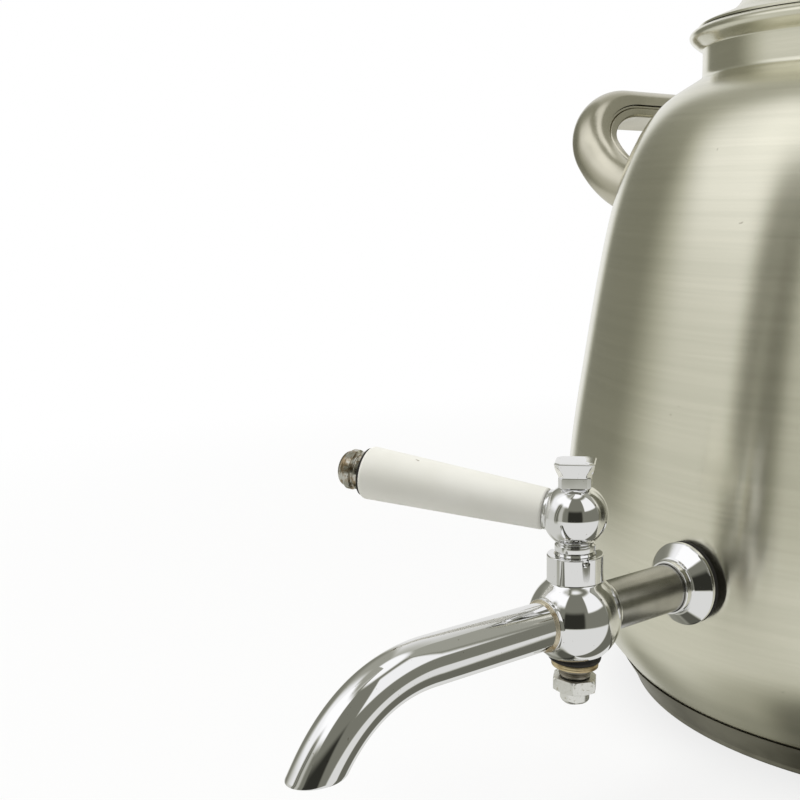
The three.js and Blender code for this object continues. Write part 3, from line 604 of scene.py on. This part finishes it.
flange_profile = rounded([
    (7.2, 37.4, 0.2), (8.0, 37.4, 0.35), (8.0, 39.7, 0.25), (8.6, 40.0, 0.15),
    (12.15, 43.2, 0.2), (12.5, 43.6, 0.2), (12.45, 44.5, 0.2), (12.2, flange_back, 0.25),
    (7.2, flange_back, 0.1)], 4)
wear(surface("flange_cone", on_tap(along_y(turned(flange_profile, 160))), loop=True),
     chrome, "tap_flange")


# Inlet pipe: a tube whose plating is worn and brushed along its length, turned down
# to a threaded shank that passes through the wall.
@material
def brushed_chrome(pen, place):
    x, y, z = place.split()
    lines = pen.noise(pen.join(x * 1300.0, y * 60.0, z * 1300.0), 1.0, 3.0, 0.6)
    cloud = pen.noise(place, 120.0, 3.0)
    tone = pen.blend(cloud.ease(0.3, 0.7), (0.38, 0.375, 0.35, 1), (0.47, 0.46, 0.43, 1))
    return metal(pen, tone, 0.18 + cloud * 0.06 + lines * 0.06, lines, 0.000008)


def threaded(radius, low, high, pitch, depth, facets=64, per_turn=6):
    """Grid of a screw thread: the radius falls by depth in a triangle wave of height
    and angle, height / pitch less turns, and fades out at both ends."""
    turn = around(facets)
    height = np.linspace(low, high, int((high - low) / pitch * per_turn))[:, None]
    wave = np.abs((height / pitch - turn / (2 * math.pi)) % 1 * 2 - 1)
    fade = np.clip(np.minimum(height - low, high - height) / pitch, 0, 1)
    reach = radius - depth * (1 - (1 - wave) * fade)
    return np.stack([reach * np.cos(turn), reach * np.sin(turn), height + 0 * turn], -1)


pipe_radius = 7.1
pipe_bore = 4.6
pipe_start = 7.99
thread_start = flange_back + 3.6
thread_pitch = 1.2
thread_depth = 0.55
shank_end = 61.0
pipe_grid = np.concatenate([
    turned(rounded([(pipe_bore, pipe_start, 0), (pipe_radius, pipe_start, 0.3),
                    (pipe_radius, flange_back, 0), (shank_radius, flange_back, 0)]), 64),
    threaded(shank_radius, thread_start, shank_end, thread_pitch, thread_depth),
    turned([(shank_radius - 0.6, shank_end), (pipe_bore, shank_end)], 64)])
wear(surface("pipe_with_thread", on_tap(along_y(pipe_grid)), loop=True),
     brushed_chrome, "inlet_pipe")

# Inside the wall: a second rubber ring, a steel washer and a brass six-sided nut pull
# the tap tight. The nut's corners are turned off where the round meets the flats.
inner_radius = 12.0
inner_front, inner_back = 48.0, 51.7
inner_profile = rounded([
    (gasket_bore, inner_front, 0), (9.0, inner_front, 0), (inner_radius, inner_front, 0),
    (inner_radius, inner_back, 0.5), (gasket_bore, inner_back, 0)])
inner_ring = pressed_ring("inner_gasket_ring", inner_profile, sheet + 0.05,
                          lambda y: y < inner_front + 0.5)
wear(inner_ring, rubber, "inner_gasket")


@material
def dull_steel(pen, place):
    cloud = pen.noise(place, 90.0, 4.0, 0.6)
    tone = pen.blend(cloud.ease(0.35, 0.65), (0.33, 0.31, 0.27, 1), (0.50, 0.47, 0.41, 1))
    return metal(pen, tone, 0.30 + cloud * 0.2, cloud, 0.00001)


def washer(bore, radius, low, high, bore_round, edge_round, steps=4):
    """Profile of a flat ring between two heights, with its edges rounded."""
    return rounded([(bore, low, bore_round), (radius, low, edge_round),
                    (radius, high, edge_round), (bore, high, bore_round)], steps)


washer_start = inner_back + piece_gap
washer_end = washer_start + 1.2
steel_washer = turned(washer(gasket_bore, 11.0, washer_start, washer_end, 0.15, 0.3), 96)
wear(surface("inner_steel_washer", on_tap(along_y(steel_washer)), loop=True),
     dull_steel, "inner_washer")


@material
def brass(pen, place):
    cloud = pen.noise(place, 150.0, 4.0, 0.6)
    tone = pen.blend(cloud.ease(0.35, 0.75), (0.74, 0.63, 0.40, 1), (0.42, 0.31, 0.17, 1))
    return metal(pen, tone, 0.22 + cloud * 0.2, cloud, 0.00003)


def six_sided(profile, flats, facets=144):
    """Turned grid whose radius is cut to a hexagon: the least of the profile's radius
    and the flat's distance over the cosine of the angle from the flat's middle."""
    grid = turned(profile, facets)
    turn = around(facets)
    side = flats / 2 / np.cos((turn + math.pi / 6) % (math.pi / 3) - math.pi / 6)
    radius = np.hypot(grid[..., 0], grid[..., 1])
    grid[..., :2] *= (np.minimum(radius, side) / np.maximum(radius, 1e-9))[..., None]
    return grid


lock_flats = 19.0
lock_start = washer_end + piece_gap
lock_end = lock_start + 5.0
corner = lock_flats / math.sqrt(3)
chamfer = np.stack([np.linspace(9.4, corner, 8), np.linspace(0.05, 1.0, 8)], 1)
lock_profile = np.concatenate([
    [(gasket_bore, lock_start + 0.4), (6.9, lock_start), (9.2, lock_start)],
    chamfer + (0, lock_start), [(corner, lock_end - 1.1)],
    (chamfer * (1, -1))[::-1] + (0, lock_end),
    [(9.2, lock_end), (6.9, lock_end), (gasket_bore, lock_end - 0.4)]])
lock_grid = along_y(six_sided(lock_profile, lock_flats))
wear(surface("brass_lock_nut", on_tap(lock_grid), loop=True, sharp=25), brass, "lock_nut")

# Valve body: a cast and chromed ball with a turned collar on top and a boss for each
# pipe. The taper bore, the water way, the stop slot and a small notch are cut in it.
ball_radius = 13.0
collar_radius = 7.85
collar_rise = 18.0
collar_foot = 0.9
seat_radius = 7.4
seat_drop = math.sqrt(ball_radius**2 - seat_radius**2)
seat_angle = math.degrees(math.asin(seat_drop / ball_radius))
collar_angle = math.degrees(math.acos((collar_radius + collar_foot) / ball_radius))
ball_profile = np.concatenate([
    [(0, -seat_drop)], arc(0, 0, ball_radius, -seat_angle, collar_angle, 60),
    rounded([(collar_radius + collar_foot, 9.61, 0), (collar_radius, 10.5, 0.8),
             (collar_radius, collar_rise, 0.35), (0, collar_rise, 0)], 6)[1:]])
valve_ball = surface("valve_ball", on_tap(turned(ball_profile, 192)))
spout_radius = 6.55
boss_profile = rounded([
    (0, -12.05, 0), (7.35, -12.05, 0.45), (7.35, -6, 0), (7.9, 6, 0), (8.05, 10.45, 0.25),
    (7.7, 10.75, 0.1), (7.7, 11.25, 0.25), (0, 11.25, 0)], 4)
carve(valve_ball, surface("pipe_bosses", on_tap(along_y(turned(boss_profile, 128)))), "UNION")
bore_low, bore_high = -seat_drop - 4, collar_rise + 4
bore_profile = [(0, bore_low), (4.87, bore_low), (6.03, bore_high), (0, bore_high)]
carve(valve_ball, surface("taper_bore", on_tap(turned(bore_profile, 96))))


def drill(piece, radius, low, high, place=on_tap):
    """Cuts a round hole along +Y of the frame that place gives."""
    plug = along_y(turned([(0, low), (radius, low), (radius, high), (0, high)], 64))
    carve(piece, surface("drill", place(plug)))


pipe_gap = 0.1
drill_reach = 18
port_radius = 2.4
spout_seat = math.sqrt(ball_radius**2 - 7.45**2) - 3.2
drill(valve_ball, spout_radius + pipe_gap, -drill_reach, -spout_seat)
drill(valve_ball, pipe_radius + pipe_gap, pipe_start - piece_gap, drill_reach)
drill(valve_ball, port_radius, -ball_radius, ball_radius)


def sector(inner, outer, start, end, low, high, steps=40):
    """Part of a ring between two angles in degrees: the outer arc, then the inner one
    backwards, at two heights."""
    ring = np.concatenate([arc(0, 0, outer, start, end, steps),
                           arc(0, 0, inner, end, start, steps)])
    return np.stack([np.insert(ring, 2, level, axis=1) for level in (low, high)])


lever_turn = 120
slot_start, slot_end = lever_turn - 45.3, lever_turn + 75.3
slot_floor = collar_rise - 1.8
slot = sector(4.7, collar_radius + 1, slot_start, slot_end, slot_floor, bore_high)
carve(valve_ball, surface("stop_slot", on_tap(slot), sheet_ends=True))
notch_angle = -20.6
notch_radius = 1.2
notch_drop = 0.9


def turning(degrees):
    """Matrix that turns rows of points about +Z by an angle."""
    cos, sin = math.cos(math.radians(degrees)), math.sin(math.radians(degrees))
    return np.array([[cos, sin, 0], [-sin, cos, 0], [0, 0, 1]])


def notch_place(grid):
    """The notch's drill runs outwards through the collar's top edge."""
    return on_tap(grid @ turning(notch_angle - 90) + (0, 0, collar_rise - notch_drop))


drill(valve_ball, notch_radius, collar_radius - 1.3, ball_radius - 1, notch_place)
smooth(valve_ball, 28)
wear(valve_ball, chrome, "valve_body")


# Solder: a thin brownish fillet of soft solder where the spout enters its boss. It
# stands for no CAD node of its own and rides with the kettle.
@material
def solder(pen, place):
    cloud = pen.noise(place, 260.0, 4.0, 0.65)
    tone = pen.blend(cloud.ease(0.35, 0.7), (0.72, 0.66, 0.52, 1), (0.36, 0.26, 0.13, 1))
    return metal(pen, tone, 0.25 + cloud * 0.3, cloud, 0.00008) | {"Metallic": 0.85}


solder_profile = rounded([(6.45, -13.0, 0.1), (6.75, -12.9, 0.3), (7.25, -12.0, 0.3),
                          (7.0, -11.6, 0), (6.45, -11.6, 0)], 4)
spout_solder = surface("spout_solder", on_tap(along_y(turned(solder_profile, 96))), loop=True)
spout_solder.data.materials.append(solder)
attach(spout_solder, "kettle")

# Spout: a chromed tube bent down at its end, its mouth cut level and the cut edge
# rounded off.
spout_wall = 1.0
spout_drop = 19.7
spout_knots = np.array([(0, -50.0, 0), (0, -71.0, 0), (0, -82.8, -spout_drop)])
spout_begin = -spout_seat - piece_gap


def spout_middle(t):
    """Middle line: straight for t below 1, then the parabola of three knots for t up to
    2, then straight on along its last tangent."""
    t = t[..., None]
    straight = spout_knots[0] * t + np.array([0, spout_begin, 0]) * (1 - t)
    s = np.clip(t - 1, 0, 1)
    bend = spout_knots[0] * (1 - s)**2 + spout_knots[1] * 2 * s * (1 - s) + spout_knots[2] * s**2
    onward = spout_knots[2] + (spout_knots[2] - spout_knots[1]) * (t - 2)
    return np.where(t < 1, straight, np.where(t < 2, bend, onward))


def spout_point(t, radius, turn):
    """Circle round the middle line, square to it: across is +X, the other axis is
    tangent x across."""
    middle = spout_middle(t)
    ahead = spout_middle(t + 1e-4) - spout_middle(t - 1e-4)
    ahead /= np.linalg.norm(ahead, axis=-1, keepdims=True)
    across = np.array([1.0, 0, 0])
    upward = np.cross(across, ahead)
    return middle + radius * (across * np.cos(turn)[..., None]
                              + upward * np.sin(turn)[..., None])


def spout_lines(radius, level, facets=96):
    """Rows of circles whose lines all end at one level, found by halving."""
    turn = around(facets)
    low, high = np.full(facets, 1.3), np.full(facets, 2.9)
    for _ in range(40):
        middle = (low + high) / 2
        above = spout_point(middle, radius, turn)[:, 2] > level
        low, high = np.where(above, middle, low), np.where(above, high, middle)
    share = np.concatenate([np.linspace(0, 1, 20) / 2, np.linspace(0.5, 1, 50)[1:]])[:, None]
    t = np.where(share < 0.5, share * 2, 1 + (share - 0.5) * 2 * (low - 1))
    return spout_point(t, radius, np.broadcast_to(turn, t.shape))


mouth = -spout_drop
mouth_round = 0.2
lip_insets = (0.08, 0.25, 0.75, 0.92)
spout_grid = np.concatenate([
    spout_lines(spout_radius, mouth + mouth_round),
    *[spout_lines(spout_radius - inset, mouth)[-1:] for inset in lip_insets],
    spout_lines(spout_radius - spout_wall, mouth + mouth_round)[::-1]])
wear(surface("spout_tube", on_tap(spout_grid), loop=True), chrome, "spout")

# Plug: the ground taper that shuts the water way, in one piece with its threaded tail,
# a neck ring and the round head that carries the lever. A lug runs in the stop slot.
head_rise = 28.7
head_radius = 9.05
head_waist = 5.0
ring_low = collar_rise + 0.6
ring_high = ring_low + 2.6
finial_seat_radius = 4.1
taper_low = -seat_drop - piece_gap
head_foot = -math.degrees(math.acos(head_waist / head_radius))
head_top = math.degrees(math.acos(finial_seat_radius / head_radius))
tail_foot = -24.4
plug_profile = np.concatenate([
    rounded([(0, tail_foot, 0), (3.2, tail_foot, 0.4), (3.2, taper_low, 0),
             (4.7, taper_low, 0.1), (5.6, collar_rise, 0.1), (5.2, ring_low, 0.1),
             (5.7, ring_low + 0.5, 0.2), (5.7, ring_high - 0.5, 0.2), (5.2, ring_high, 0.15),
             (4.95, ring_high + 0.1, 0)], 3),
    arc(0, head_rise, head_radius, head_foot, head_top, 48),
    [(0, head_rise + head_radius * 0.8915)]])
plug = surface("plug_and_head", on_tap(turned(plug_profile, 144)))
lever_tilt = 7


def on_lever(grid):
    """From the lever's own frame, +Y along it, to the kettle's: tilted about +X, then
    turned about the plug's axis."""
    tilting = np.roll(turning(lever_tilt), (1, 1), (0, 1))
    return on_tap(grid @ tilting @ turning(lever_turn) + (0, 0, head_rise))


lever_boss_end = 8.1
socket_floor = 3.7
boss_profile = rounded([(0, 4, 0), (5.6, 4, 0), (5.6, lever_boss_end, 0.25),
                        (0, lever_boss_end, 0)], 4)
carve(plug, surface("lever_boss", on_lever(along_y(turned(boss_profile, 96)))), "UNION")
drill(plug, 2.6, socket_floor, 14, on_lever)
drill(plug, port_radius, -9, 9, lambda grid: on_tap(grid @ turning(lever_turn)))
lug_half = 9.7
lug = sector(3, 7.1, lever_turn - lug_half, lever_turn + lug_half, slot_floor + piece_gap,
             collar_rise + 1.3, 8)
carve(plug, surface("stop_lug", on_tap(lug), sheet_ends=True), "UNION")
smooth(plug, 30)
wear(plug, chrome, "valve_plug", "plug")

# Finial: a chromed square bar with bevelled corners, a straight foot and a flared
# head whose edges are polished round. Its stem clamps the lever's rod.
finial_seat = head_rise + math.sqrt(head_radius**2 - finial_seat_radius**2) + 0.05
finial_turn = math.radians(-47)


def bar_section(height, flat, half):
    """Square of this distance from the axis to each flat, with bevels that leave the
    flats this half width, at a height."""
    edge = min(0.22, flat / 20)
    corners = []
    for side in range(4):
        turn = finial_turn + side * math.pi / 2
        for away in (-half, half):
            corners.append((flat * math.cos(turn) - away * math.sin(turn),
                            flat * math.sin(turn) + away * math.cos(turn), edge))
    return np.insert(rounded(corners, 4), 2, finial_seat + height, axis=1)


foot_levels = [(0, 4.3, 3.3), (0.2, 4.5, 3.45), (2.75, 4.5, 3.45), (2.9, 4.4, 3.35),
               (2.95, 4.38, 3.0)]
flare_levels = smooth_line([(3.05, 4.42, 3.02), (3.6, 4.62, 3.12), (4.4, 5.0, 3.42),
                            (5.3, 5.3, 3.92), (6.3, 5.5, 4.18), (6.75, 5.57, 4.24)], 24)
rim_levels = [(6.85, 5.56, 4.23), (7.1, 5.3, 4.0), (7.17, 5.1, 3.8), (7.24, 2.5, 1.9)]
finial_height = 7.26
finial_levels = np.concatenate([foot_levels, flare_levels, rim_levels])
finial_rows = np.stack([bar_section(*level) for level in finial_levels])
foot_middle = np.zeros((1, finial_rows.shape[1], 3)) + (0, 0, finial_seat)
top_middle = foot_middle + (0, 0, finial_height)
finial_grid = np.concatenate([foot_middle, finial_rows, top_middle])
wear(surface("finial_cap", on_tap(finial_grid), sharp=25), chrome, "finial_screw", "plug")

# Under the ball: a black rubber washer, a brass ring, a thick spring washer and a
# six-sided nut that narrows to a round foot. The nut has pulled them a little crooked.
tail_bore = 3.6
tail_gasket_top = -seat_drop - 0.05
tail_washer_top = tail_gasket_top - 1.5
tail_spring_top = tail_washer_top - 1.85
tail_nut_top = tail_spring_top - 2.9
tail_slope = 0.08
tail_bend = 1.3


def crooked(grid, above=None):
    """Lowered towards +X +Y by a slope, which grows from nothing at the height above
    that is given."""
    share = 1.0 if above is None else np.clip((above - grid[..., 2:]) / tail_bend, 0, 1)
    towards_low_side = grid[..., :1] * 0.679 + grid[..., 1:2] * 0.735
    return grid - towards_low_side * share * np.array([0, 0, tail_slope])


tail_rings = (
    ("tail_rubber_washer", rubber, "tail_gasket", tail_gasket_top, tail_gasket_top, 6, [
        (tail_bore - 0.1, -1.35, 0), (7.1, -1.35, 0.4), (7.45, -0.6, 0.4), (7.1, 0, 0.2),
        (tail_bore - 0.1, 0, 0)]),
    ("tail_brass_ring", brass, "tail_washer", tail_washer_top, None, 4, [
        (tail_bore, -1.7, 0), (6.5, -1.7, 0.25), (6.6, -1.1, 0.1), (6.42, -1.0, 0.1),
        (6.65, -0.8, 0.2), (6.6, 0, 0.35), (tail_bore, 0, 0)]),
    ("tail_dished_washer", dull_steel, "tail_spring", tail_spring_top, None, 4, [
        (tail_bore, -2.6, 0), (4.4, -2.6, 0.2), (4.5, -1.9, 0.2), (4.1, -1.6, 0.1),
        (5.1, -0.6, 0.15), (5.1, -0.3, 0.1), (tail_bore, 0, 0)]))
for name, finish, node, top, above, steps, corners in tail_rings:
    ring = crooked(turned(rounded(corners, steps) + (0, top), 96), above)
    wear(surface(name, on_tap(ring), loop=True), finish, node, "plug")


@material
def pitted_chrome(pen, place):
    x, y, z = place.split()
    cloud = pen.noise(place, 240.0, 4.0, 0.65)
    pits = pen.noise(place, 900.0, 2.0).ease(0.6, 0.7)
    # The nut's foot, below about 40 mm, is darker and browner in patches.
    foot_darkening = (z + cloud * 0.003).ease(0.0415, 0.0385)
    tone = pen.blend(pits * 0.5, (0.84, 0.84, 0.81, 1), (0.50, 0.46, 0.34, 1))
    tone = pen.blend(foot_darkening * cloud.ease(0.35, 0.6), tone, (0.40, 0.38, 0.20, 1))
    return metal(pen, tone, 0.16 + cloud * 0.14, cloud - pits * 0.5, 0.00003) | {"Metallic": 0.95}


tail_nut_corner = 6.7
tail_nut_turn = -17
nut_profile = np.concatenate([
    rounded([(3.5, -6.95, 0), (3.7, -6.95, 0.1), (4.1, -6.35, 0.4), (4.15, -4.45, 0)], 4)[:-1],
    np.linspace((4.15, -4.45), (tail_nut_corner, -3.2), 14),
    [(tail_nut_corner, -0.5), (6.2, 0), (3.5, 0)]]) + (0, tail_nut_top)
nut_grid = six_sided(nut_profile, tail_nut_corner * math.sqrt(3)) @ turning(tail_nut_turn)
wear(surface("tail_six_sided_nut", on_tap(crooked(nut_grid)), loop=True, sharp=25),
     pitted_chrome, "tail_nut", "plug", slot="chrome")

# Lever: a steel rod screwed into the head carries a tapered white plastic grip, a
# black washer and a grooved nut with a domed end.
rod_radius = 2.5
rod_core = rod_radius - 0.3
rod_start = socket_floor + piece_gap
rod_end = 67.5
rod_grid = np.concatenate([
    turned([(0, rod_start), (rod_core, rod_start)], 32),
    threaded(rod_radius, rod_start + 4.5, rod_end - 0.5, 1.0, rod_radius - rod_core, 32),
    turned([(rod_core, rod_end), (0, rod_end)], 32)])
wear(surface("lever_threaded_rod", on_lever(along_y(rod_grid))), dull_steel, "lever_rod", "plug")


@material
def white_plastic(pen, place):
    cloud = pen.noise(place, 40.0, 3.0)
    grain = pen.noise(place, 1200.0, 2.0)
    speck = pen.noise(place, 330.0, 1.0).ease(0.765, 0.79)
    tone = pen.blend(cloud.ease(0.3, 0.7), (0.80, 0.79, 0.73, 1), (0.86, 0.85, 0.80, 1))
    tone = pen.blend(speck * 0.7, tone, (0.30, 0.26, 0.20, 1))
    return {"Base Color": tone, "Roughness": 0.34 + grain * 0.12,
            "Normal": pen.bump(grain, 0.00001)}


lever_bore = rod_radius + piece_gap
grip_start = lever_boss_end + 0.15
grip_end = 62.7
grip_rows = turned(rounded([(lever_bore, grip_start, 0), (5.8, grip_start, 0.9),
                            (7.65, grip_end, 1.1), (lever_bore, grip_end, 0)], 10), 128)
wear(surface("lever_plastic_grip", on_lever(along_y(grip_rows)), loop=True),
     white_plastic, "lever_grip", "plug")
end_washer = turned(washer(lever_bore, 6.9, grip_end + 0.05, grip_end + 0.65, 0, 0.25, 6), 96)
wear(surface("grip_black_washer", on_lever(along_y(end_washer)), loop=True),
     rubber, "grip_washer", "plug")


@material
def tarnished_chrome(pen, place):
    cloud = pen.noise(place, 380.0, 4.0, 0.65)
    tone = pen.blend(cloud.ease(0.42, 0.62), (0.58, 0.57, 0.52, 1), (0.30, 0.23, 0.14, 1))
    return metal(pen, tone, 0.10 + cloud * 0.18, cloud, 0.00002)


nut_start = grip_end + 0.75
nut_edge = rounded([
    (lever_bore, 0, 0), (5.0, 0, 0.2), (5.4, 0.5, 0.2), (5.6, 1.6, 0.3), (4.7, 2.1, 0.3),
    (4.8, 2.6, 0.3), (5.8, 2.9, 0.2), (5.8, 4.5, 0.3), (5.1, 4.9, 0.2), (5.1, 5.3, 0)], 4)
dome = arc(0, 0, 1, 0, 90, 14) * (5.1, 2.6) + (0, 5.3)
dome[-1, 0] = 0
bore = [(0, 6), (lever_bore, 6)]
nut_rows = turned(np.concatenate([bore, nut_edge, dome]) + (0, nut_start), 96)
wear(surface("grip_domed_nut", on_lever(along_y(nut_rows))),
     tarnished_chrome, "grip_end_nut", "plug", slot="chrome")

# Lid: a pressed dome with a thin flange that lies on the bead, its edge trimmed and
# left as a crisp line. A raised step runs between the flange and the dome.
lid_low = rim_top + 0.15
lid_edge = neck_radius + 1.7
lid_rise = 32.5
flange_rise = 5.0
lid_sheet = 0.9
dome_shares = np.array([(0.1, 0.849), (0.23, 0.824), (0.5, 0.775), (0.72, 0.69), (0.88, 0.53),
                        (0.97, 0.3), (1.0, 0.12)])
dome_points = np.stack([dome_shares[:, 1] * lid_edge,
                        lid_low + flange_rise + dome_shares[:, 0] * (lid_rise - flange_rise)], 1)
lid_foot = (0.868 * lid_edge, lid_low + flange_rise + 0.6)
lid_dome = smooth_line(np.concatenate([[lid_foot], dome_points]), 70)[3:]
flange_shares = np.array([(0.985, 1.45), (0.957, 2.5), (0.919, 3.9), (0.9, 4.6)])
lid_flange = smooth_line(flange_shares * (lid_edge, 1) + (0, lid_low), 16)
lid_step = (0.88 * lid_edge, lid_low + 5.25, 1.4)
lid_line = np.concatenate([
    rounded([(lid_edge, lid_low, 0), (lid_edge, lid_low + 0.75, 0.35),
             (*lid_flange[0], 0)], 4)[:-1],
    lid_flange[:-1],
    rounded([(*lid_flange[-1], 0), lid_step, (*lid_dome[0], 0)], 5)[:-1],
    lid_dome])
lid_under = offset(lid_line, lid_sheet)
lid_under[0] = (lid_edge - 0.8, lid_low)
lid_top = lid_line[-1, 1]
lid_bore = 2.7
lid_rows = np.concatenate([
    lid_line, [(lid_bore, lid_top), (lid_bore, lid_top - lid_sheet)], lid_under[::-1]])
wear(surface("lid_dome_and_flange", turned(lid_rows, 256), loop=True),
     satin_steel, "lid_shell", "lid")

# Skirt of the lid: a ring of the same sheet spot-welded under the flange, which keeps
# the lid central in the neck. Its lower edge is rolled in a little.
skirt_radius = neck_radius - sheet - 2
skirt_low = rim_top - 11
skirt_top = np.interp(-skirt_radius, -lid_under[:, 0], lid_under[:, 1])
skirt_inside = skirt_radius - lid_sheet
skirt_rows = rounded([
    (skirt_radius - 1.6, skirt_low + 0.4, 0.3), (skirt_radius - 0.2, skirt_low, 0.5),
    (skirt_radius, skirt_low + 2, 0), (skirt_radius, skirt_top, 0), (skirt_inside, skirt_top, 0),
    (skirt_inside, skirt_low + 1.6, 0.4), (skirt_radius - 1.7, skirt_low + 1.2, 0.3)], 4)
wear(surface("lid_skirt_ring", turned(skirt_rows, 224), loop=True),
     satin_steel, "lid_skirt", "lid")

# Knob: turned and chromed, a mushroom on a waist and a round foot, held by a screw
# with a washer from under the lid.
knob_neck = smooth_line([(9.5, 2.2), (5.6, 6.0), (5.2, 8.8), (9.2, 13.6), (15.2, 17.2)], 40)[2:]
knob_cap = arc(0, 0, 1, 0, 90, 24) * (15.5, 9.0) + (0, 18.2)
knob_cap[-1, 0] = 0
knob_line = np.concatenate([
    [(0, 12), (lid_bore, 12), (lid_bore, 0)],
    rounded([(lid_bore, 0, 0), (9.5, 0, 0.4), (9.5, 2.2, 0.5), (*knob_neck[0], 0)], 4)[1:-1],
    knob_neck, knob_cap])
wear(surface("knob_mushroom", turned(knob_line + (0, lid_top + 0.05), 128)),
     chrome, "lid_knob", "lid")
washer_top = lid_top - lid_sheet - 0.2
knob_washer = turned(washer(lid_bore, 8, washer_top - 1, washer_top, 0.1, 0.3), 96)
wear(surface("knob_steel_washer", knob_washer, loop=True), dull_steel, "knob_washer", "lid")
screw_seat = washer_top - 1.1
screw_radius = 2.4
screw_head = 4.6
screw_top = lid_top + 11.5
screw_rows = np.concatenate([
    turned(rounded([(0, -1.3, 0), (1.9, -1.3, 0), (2.0, -2.2, 0.1), (3.6, -2.2, 0.9),
                    (screw_head, -0.5, 0.3), (screw_head, 0, 0.1), (screw_radius, 0, 0)], 4)
           + (0, screw_seat), 48),
    threaded(screw_radius, screw_seat + 0.2, screw_top - 0.5, 0.9, 0.3, 48),
    turned([(2.0, screw_top), (0, screw_top)], 48)])
wear(surface("knob_round_screw", screw_rows), dull_steel, "knob_screw", "lid")

# Floor: a plain white table that keeps a faint shadow of the kettle and runs out to
# pure white, so that no edge or horizon shows.
floor_mesh = bpy.data.meshes.new("floor")
floor_half = 6.0
floor_level = -0.0002
floor_mesh.from_pydata([(x * floor_half, y * floor_half, floor_level)
                        for x, y in ((-1, -1), (1, -1), (1, 1), (-1, 1))], [], [(0, 1, 2, 3)])
floor = placed("floor", floor_mesh)
floor_finish = bpy.data.materials.new("white_table")
pen = blank(floor_finish)
x, y, z = pen.object_place().split()
whiteness = (x * x + y * y).ease(0.06, 0.5, 0.80, 1.0)
camera_ray = pen.node("ShaderNodeLightPath", output=0)
paper = pen.node("ShaderNodeBsdfDiffuse", {"Color": (0.82, 0.82, 0.82, 1)})
white = pen.node("ShaderNodeEmission", {"Color": (1, 1, 1, 1), "Strength": 1.0})
mixed = pen.node("ShaderNodeMixShader", {0: camera_ray * whiteness, 1: paper, 2: white})
pen.node("ShaderNodeOutputMaterial", {"Surface": mixed})
floor_mesh.materials.append(floor_finish)
floor.visible_glossy = False

# Studio: what the metal mirrors, by direction. A white backdrop stands behind the
# kettle, a grey room with soft windows in front of it, and a white table below.
studio = bpy.data.worlds.new("studio")
studio.cycles.sampling_method = "NONE"
scene.world = studio
pen = blank(studio)
x, y, z = pen.node("ShaderNodeTexCoord", output=0).split()
to_degrees = 180 / math.pi
height = z.maths("ARCSINE", z) * to_degrees
azimuth = y.maths("ARCTAN2", y, x) * to_degrees


def span(angle, start, full, fade, gone):
    """Mask by an angle: 0 up to start, 1 from full to fade and 0 again from gone."""
    return angle.ease(start, full) * angle.ease(gone, fade)


def over(base, mask, value):
    """Base with a value laid over it where the mask is 1."""
    return base + mask * (value - base)


# The room's parts, each a mask by direction: a strip between two windows with a thin
# light line in it, the dark room on the right, the backdrop, the large window, the
# lower one beside it, the walls in front, a skylight, a side window, a dark figure
# before the tap and the ceiling lamp.
slanted = azimuth - height * 0.15
strip_height = span(height, -24, -10, 30, 46)
strip = span(slanted, -123, -116.5, -110, -102) * strip_height
thin_line = span(slanted, -114.7, -113.8, -113.2, -112.3) * strip_height
dark_side = span(azimuth, 42, 48, 92, 100)
backdrop = span(azimuth, 97, 103, 150, 160)
window = (azimuth + height.ease(20, 34) * 9).ease(-172, -143) * azimuth.ease(-114, -124)
low_window = span(azimuth, -108, -101, -92, -86)
front_walls = span(azimuth, -86, -82, 50, 60)
skylight = span(azimuth, -150, -140, -76, -70) * span(height, 30, 42, 60, 70)
side_window = span(azimuth, -10, -6, 38, 44) * span(height, 20, 25, 58, 66)
figure = span(azimuth, -72, -66, -22, -14) * height.ease(30, 18)
ceiling_lamp = height.ease(68, 76) * azimuth.ease(-80, -60)
light = height.ease(12, 40, 0.22, 0.36)
for mask, value in (
        (window * height.ease(66, 56), height.ease(4, 24, 0.62, 1.0)), (low_window, 0.52),
        (front_walls, 0.20), (skylight, 1.15), (side_window, 1.0),
        (dark_side, height.ease(-4, 10, 0.08, 0.36)),
        (backdrop, height.ease(30, 75, 0.85, 0.45)), (figure, 0.03), (ceiling_lamp, 1.1)):
    light = over(light, mask, value)
tap_side = span(azimuth, -110, -80, 110, 150)
table = 0.66 + tap_side * 0.12
table = over(table, span(azimuth, 140, 150, 160, 182) * height.ease(-30, -38), 0.26)
table = over(table, dark_side, 0.15)
under_kettle = height.ease(-60, -46, 0.6, 1.0) * height.ease(-68, -60, 0.25, 1.0)
table = table * over(under_kettle, tap_side, 1.0)
light = over(light, height.ease(-11, -15), table)
light = over(over(light, strip, 0.15), thin_line, 0.42)
camera_ray = pen.node("ShaderNodeLightPath", output=0)
shown = light + camera_ray * (1.0 - light)
warm = shown * shown.ease(0.0, 1.0, 0.80, 1.0)
pen.node("ShaderNodeOutputWorld", {"Surface": pen.node("ShaderNodeBackground", {
    "Color": pen.join(shown, shown, warm)})})

# Lamp: a soft round area light above and to the left, out of the metal's reflections,
# for the shadows and for what isn't metal.
lamp_data = bpy.data.lights.new("soft_lamp", "AREA")
lamp_data.shape = "DISK"
lamp_data.size = 0.9
lamp_data.energy = 10.0
lamp = placed("soft_lamp", lamp_data)
lamp_place = Vector((-0.25, -0.45, 1.25))
lamp_aim = Vector((0, -0.1, 0.15))
lamp_turn = (lamp_place - lamp_aim).to_track_quat("Z", "Y")
lamp.matrix_world = Matrix.LocRotScale(lamp_place, lamp_turn, None)
lamp.visible_glossy = False
